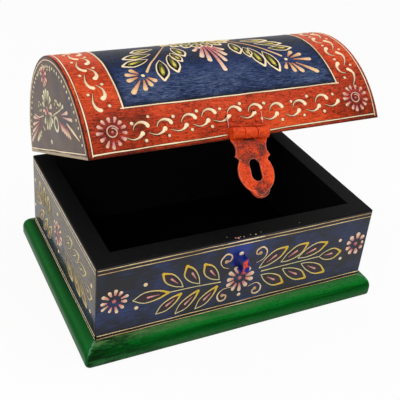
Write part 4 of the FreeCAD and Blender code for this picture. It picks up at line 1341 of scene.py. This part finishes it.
# Brush paint over sheet metal: bright where thick, rubbed to dark specks on the flats, with a painted
# highlight along the edges
metalPaints = {
    # bare, worn, painted and thick, by tone; edge is a painted highlight along the rounded edges
    "red": {
        "stops": ((0.3, "#3a2620"), (0.42, "#7c2a16"), (0.52, "#c43812"), (0.66, "#e24c1a")),
        "edge": "#f2a288",
    },
    "blue": {
        "stops": ((0.3, "#2a2a3a"), (0.42, "#0a0f3c"), (0.52, "#0c1660"), (0.66, "#14248c")),
        "edge": "#7c84b0",
    },
}
metalSkin = {
    "speck": 0.8,
    "patch": 5.0,
    "lump": 2.2,
    "mark": 2.6,
    "markDepth": (2.2 * mm, 0.8 * mm),
    "edgeRadius": 0.5 * mm,
    "edgeHighlightFade": (0.97, 0.8, 0.0, 0.7),
    "bump": {"Strength": 0.6, "Distance": 0.25 * mm},
    "surface": {"Roughness": 0.34, "Specular IOR Level": 0.1},
}
tongue = {
    "footAside": -2.5 * mm,
    # worn places: share of the way down, step aside and radius
    "wear": ((0.26, -0.4 * mm, 11.0 * mm), (0.85, 1.8 * mm, 6.5 * mm)),
    "loss": 0.19,
    "barrel": 3.0 * mm,
    "barrelFade": 0.6 * mm,
}
haspPin = Vector(joints["hasp_hinge"]["pos_m"])
haspAxis = Vector(joints["hasp_hinge"]["axis"])


def makeMetalPaint(name, colour, wear=(), rubAndHighlight=None):
    material, shader, add = newMaterial(name)
    place = add("TexCoord").node.outputs["Object"]
    fine = {"Scale": perMetre(metalSkin["speck"]), "Detail": 4.0, "Roughness": 0.75}
    speck = add("TexNoise", {"Vector": place, **fine})
    patch = add("TexNoise", {"Vector": place, "Scale": perMetre(metalSkin["patch"]), "Detail": 2.0})
    mottle = add("Math", (patch, 0.5, -0.14), operation="MULTIPLY_ADD")
    mottle = add("Math", (speck, mottle), operation="ADD")
    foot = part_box("hasp_tongue")[0]
    foot.x = tongue["footAside"]
    for share, aside, reach in wear:
        spot = haspPin.lerp(foot, share) + Vector((aside, 0, 0))
        away = add("VectorMath", (place, spot), operation="DISTANCE").node.outputs["Value"]
        loss = add("MapRange", (away, reach, 0.4 * reach, 0.0, tongue["loss"]), **soft)
        mottle = add("Math", (mottle, loss), operation="SUBTRACT")
    shade = add("ValToRGB", (mottle,), metalPaints[colour]["stops"])
    if rubAndHighlight:
        # the tongue leaves its own paint where it drops over the outside
        y = add("SeparateXYZ", (place,)).node.outputs["Y"]
        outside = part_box(rubAndHighlight)[0].y
        near = add("MapRange", (y, *[outside + depth for depth in metalSkin["markDepth"]]), **soft)
        marks = add("TexNoise", {"Vector": place, "Scale": perMetre(metalSkin["mark"]), "Detail": 3.0})
        marks = add("MapRange", (marks, 0.5, 0.58), **soft)
        share = add("Math", (near, marks), operation="MULTIPLY")
        thick = metalPaints["red"]["stops"][-1][1]
        shade = add("MixRGB", (share, shade, linear(thick)))
    # painted highlight: pale colour along every rounded edge, kept off the barrel
    rounded = add("Bevel", {"Radius": metalSkin["edgeRadius"]}, samples=6)
    flat = add("NewGeometry").node.outputs["True Normal"]
    even = add("VectorMath", (rounded, flat), operation="DOT_PRODUCT").node.outputs["Value"]
    edge = add("MapRange", (even, *metalSkin["edgeHighlightFade"]), **soft)
    spoke = add("VectorMath", (place, haspPin), operation="SUBTRACT")
    spoke = add("VectorMath", (spoke, haspAxis), operation="CROSS_PRODUCT")
    away = add("VectorMath", (spoke,), operation="LENGTH").node.outputs["Value"]
    offBarrel = add("MapRange", (away, tongue["barrel"], tongue["barrel"] + tongue["barrelFade"]))
    edge = add("Math", (edge, offBarrel), operation="MULTIPLY")
    shade = add("MixRGB", (edge, shade, linear(metalPaints[colour]["edge"])))
    lumps = add("TexNoise", {"Vector": place, "Scale": perMetre(metalSkin["lump"]), "Detail": 3.0})
    relief = add("Math", (lumps, 1.5, mottle), operation="MULTIPLY_ADD")
    bump = add("Bump", {"Height": relief, **metalSkin["bump"]})
    feed(shader, {"Base Color": shade, "Normal": bump, **metalSkin["surface"]})
    return material


redMetal = makeMetalPaint("brush_paint_on_sheet_metal_red", "red")
wornMetal = makeMetalPaint("brush_paint_on_sheet_metal_red_worn", "red", tongue["wear"])
blueMetal = makeMetalPaint("brush_paint_on_sheet_metal_blue", "blue")
hingeParts = {}
for part in ("lid_leaf", "body_leaf", "pin"):
    hingeParts[part] = [f"{side}_hinge_{part}" for side in ("left", "right")]
dress(redMetal, "hasp_plate", "hasp_pin", "hinge_lid_tacks", *hingeParts["lid_leaf"])
dress(lidWood, "hasp_tacks")
dress(wornMetal, "hasp_tongue")
plate = frame["nodes"]["hasp_plate"].data
plate.materials.append(lidWood)
for face in plate.polygons:
    # the plate's flat was painted over with the lid, the barrel was not
    face.material_index = int((face.center - haspPin).cross(haspAxis).length > tongue["barrel"])
dress(blueMetal, "hinge_body_tacks", *hingeParts["body_leaf"])
dress(makeMetalPaint("brush_paint_on_sheet_metal_blue_rubbed_red", "blue", rubAndHighlight="staple"), "staple")

# Bare metal: drawn brass pins and bright steel nails, both dulled in spots
bareMetals = {
    # dull and bright colour, roughness
    "drawn_brass": ("#8a6a30", "#b08a42", 0.35),
    "bright_steel_wire": ("#6c6a66", "#9a9a98", 0.3),
}
tarnishSize = 2.0


def makeBareMetal(name):
    dull, bright, rough = bareMetals[name]
    material, shader, add = newMaterial(name)
    place = add("TexCoord").node.outputs["Object"]
    tarnish = add("TexNoise", {"Vector": place, "Scale": perMetre(tarnishSize), "Detail": 3.0})
    shade = add("ValToRGB", (tarnish,), ((0.35, dull), (0.65, bright)))
    feed(shader, {"Base Color": shade, "Metallic": 1.0, "Roughness": rough})
    return material


dress(makeBareMetal("drawn_brass"), *hingeParts["pin"])
dress(makeBareMetal("bright_steel_wire"), "base_nails", "corner_nails", "lid_nails")
print("base and metal finished")

# Floor, light and camera
studio = {
    "floorSize": 8.0,
    "floorColour": "#e8e8e6",
    "floorGlow": 0.92,
    "ambient": 0.4,
    # place, size and watts of each soft box
    "boxes": (
        ((0.2, -0.25, 1.0), 0.8, 5.5),
        ((-0.6, -0.8, 0.8), 0.35, 4.0),
        ((-0.9, 0.6, 0.3), 0.7, 4.0),
    ),
    "aim": (0.0, 0.0, 0.06),
}


def seenDirectly(add):
    path = add("LightPath").node.outputs
    seen = add("Math", (path["Is Camera Ray"], path["Is Glossy Ray"]), operation="MAXIMUM")
    return add("Math", (seen, path["Is Transmission Ray"]), operation="MAXIMUM")


def makeFloor():
    half = studio["floorSize"] / 2
    mesh = bpy.data.meshes.new("studio_floor")
    corners = [(-half, -half, 0), (half, -half, 0), (half, half, 0), (-half, half, 0)]
    mesh.from_pydata(corners, [], [(0, 1, 2, 3)])
    floor = bpy.data.objects.new("studio_floor", mesh)
    scene.collection.objects.link(floor)
    material, shader, add = newMaterial("pale_studio_paper")
    feed(shader, {"Base Color": linear(studio["floorColour"]), "Roughness": 0.9})
    share = add("Math", (seenDirectly(add), studio["floorGlow"]), operation="MULTIPLY")
    glow = add("Emission", {"Strength": 1.0})
    both = add("MixShader", (share, shader.outputs[0], glow))
    feed(material.node_tree.nodes["Material Output"], {"Surface": both})
    mesh.materials.append(material)


def makeWorld():
    world = bpy.data.worlds.new("white_studio")
    scene.world = world
    world.use_nodes = True
    add = partial(addNode, world.node_tree)
    strength = add("MapRange", (seenDirectly(add), 0.0, 1.0, studio["ambient"], 1.0))
    feed(world.node_tree.nodes["Background"], {"Color": (1, 1, 1, 1), "Strength": strength})


def makeLights():
    for number, (spot, size, watts) in enumerate(studio["boxes"], start=1):
        light = bpy.data.lights.new(f"soft_box_{number}", "AREA")
        light.size = size
        light.energy = watts
        lamp = bpy.data.objects.new(light.name, light)
        lamp.location = spot
        lamp.rotation_euler = (Vector(studio["aim"]) - Vector(spot)).to_track_quat("-Z", "Y").to_euler()
        scene.collection.objects.link(lamp)


camera = {
    "lookAt": (7.7, 13.4, 45.0),
    "distance": 410.7,
    "azimuth": -28.52,
    "elevation": 30.57,
    "roll": 5.7,
    "lens": 66.83,
    "sensor": 36,
    "shiftY": -0.05,
}


def makeCamera():
    data = bpy.data.cameras.new("photo_camera")
    data.lens = camera["lens"]
    data.sensor_width = camera["sensor"]
    data.shift_y = camera["shiftY"]
    azimuth, elevation = math.radians(camera["azimuth"]), math.radians(camera["elevation"])
    level = math.cos(elevation)
    forward = Vector((-math.sin(azimuth) * level, math.cos(azimuth) * level, -math.sin(elevation)))
    holder = bpy.data.objects.new("photo_camera", data)
    holder.location = (Vector(camera["lookAt"]) - forward * camera["distance"]) * mm
    holder.rotation_mode = "QUATERNION"
    roll = Quaternion((0, 0, 1), math.radians(camera["roll"]))
    holder.rotation_quaternion = forward.to_track_quat("-Z", "Y") @ roll
    scene.collection.objects.link(holder)
    scene.camera = holder


makeFloor()
makeWorld()
makeLights()
makeCamera()
scene.view_settings.view_transform = "Standard"
print("studio set")
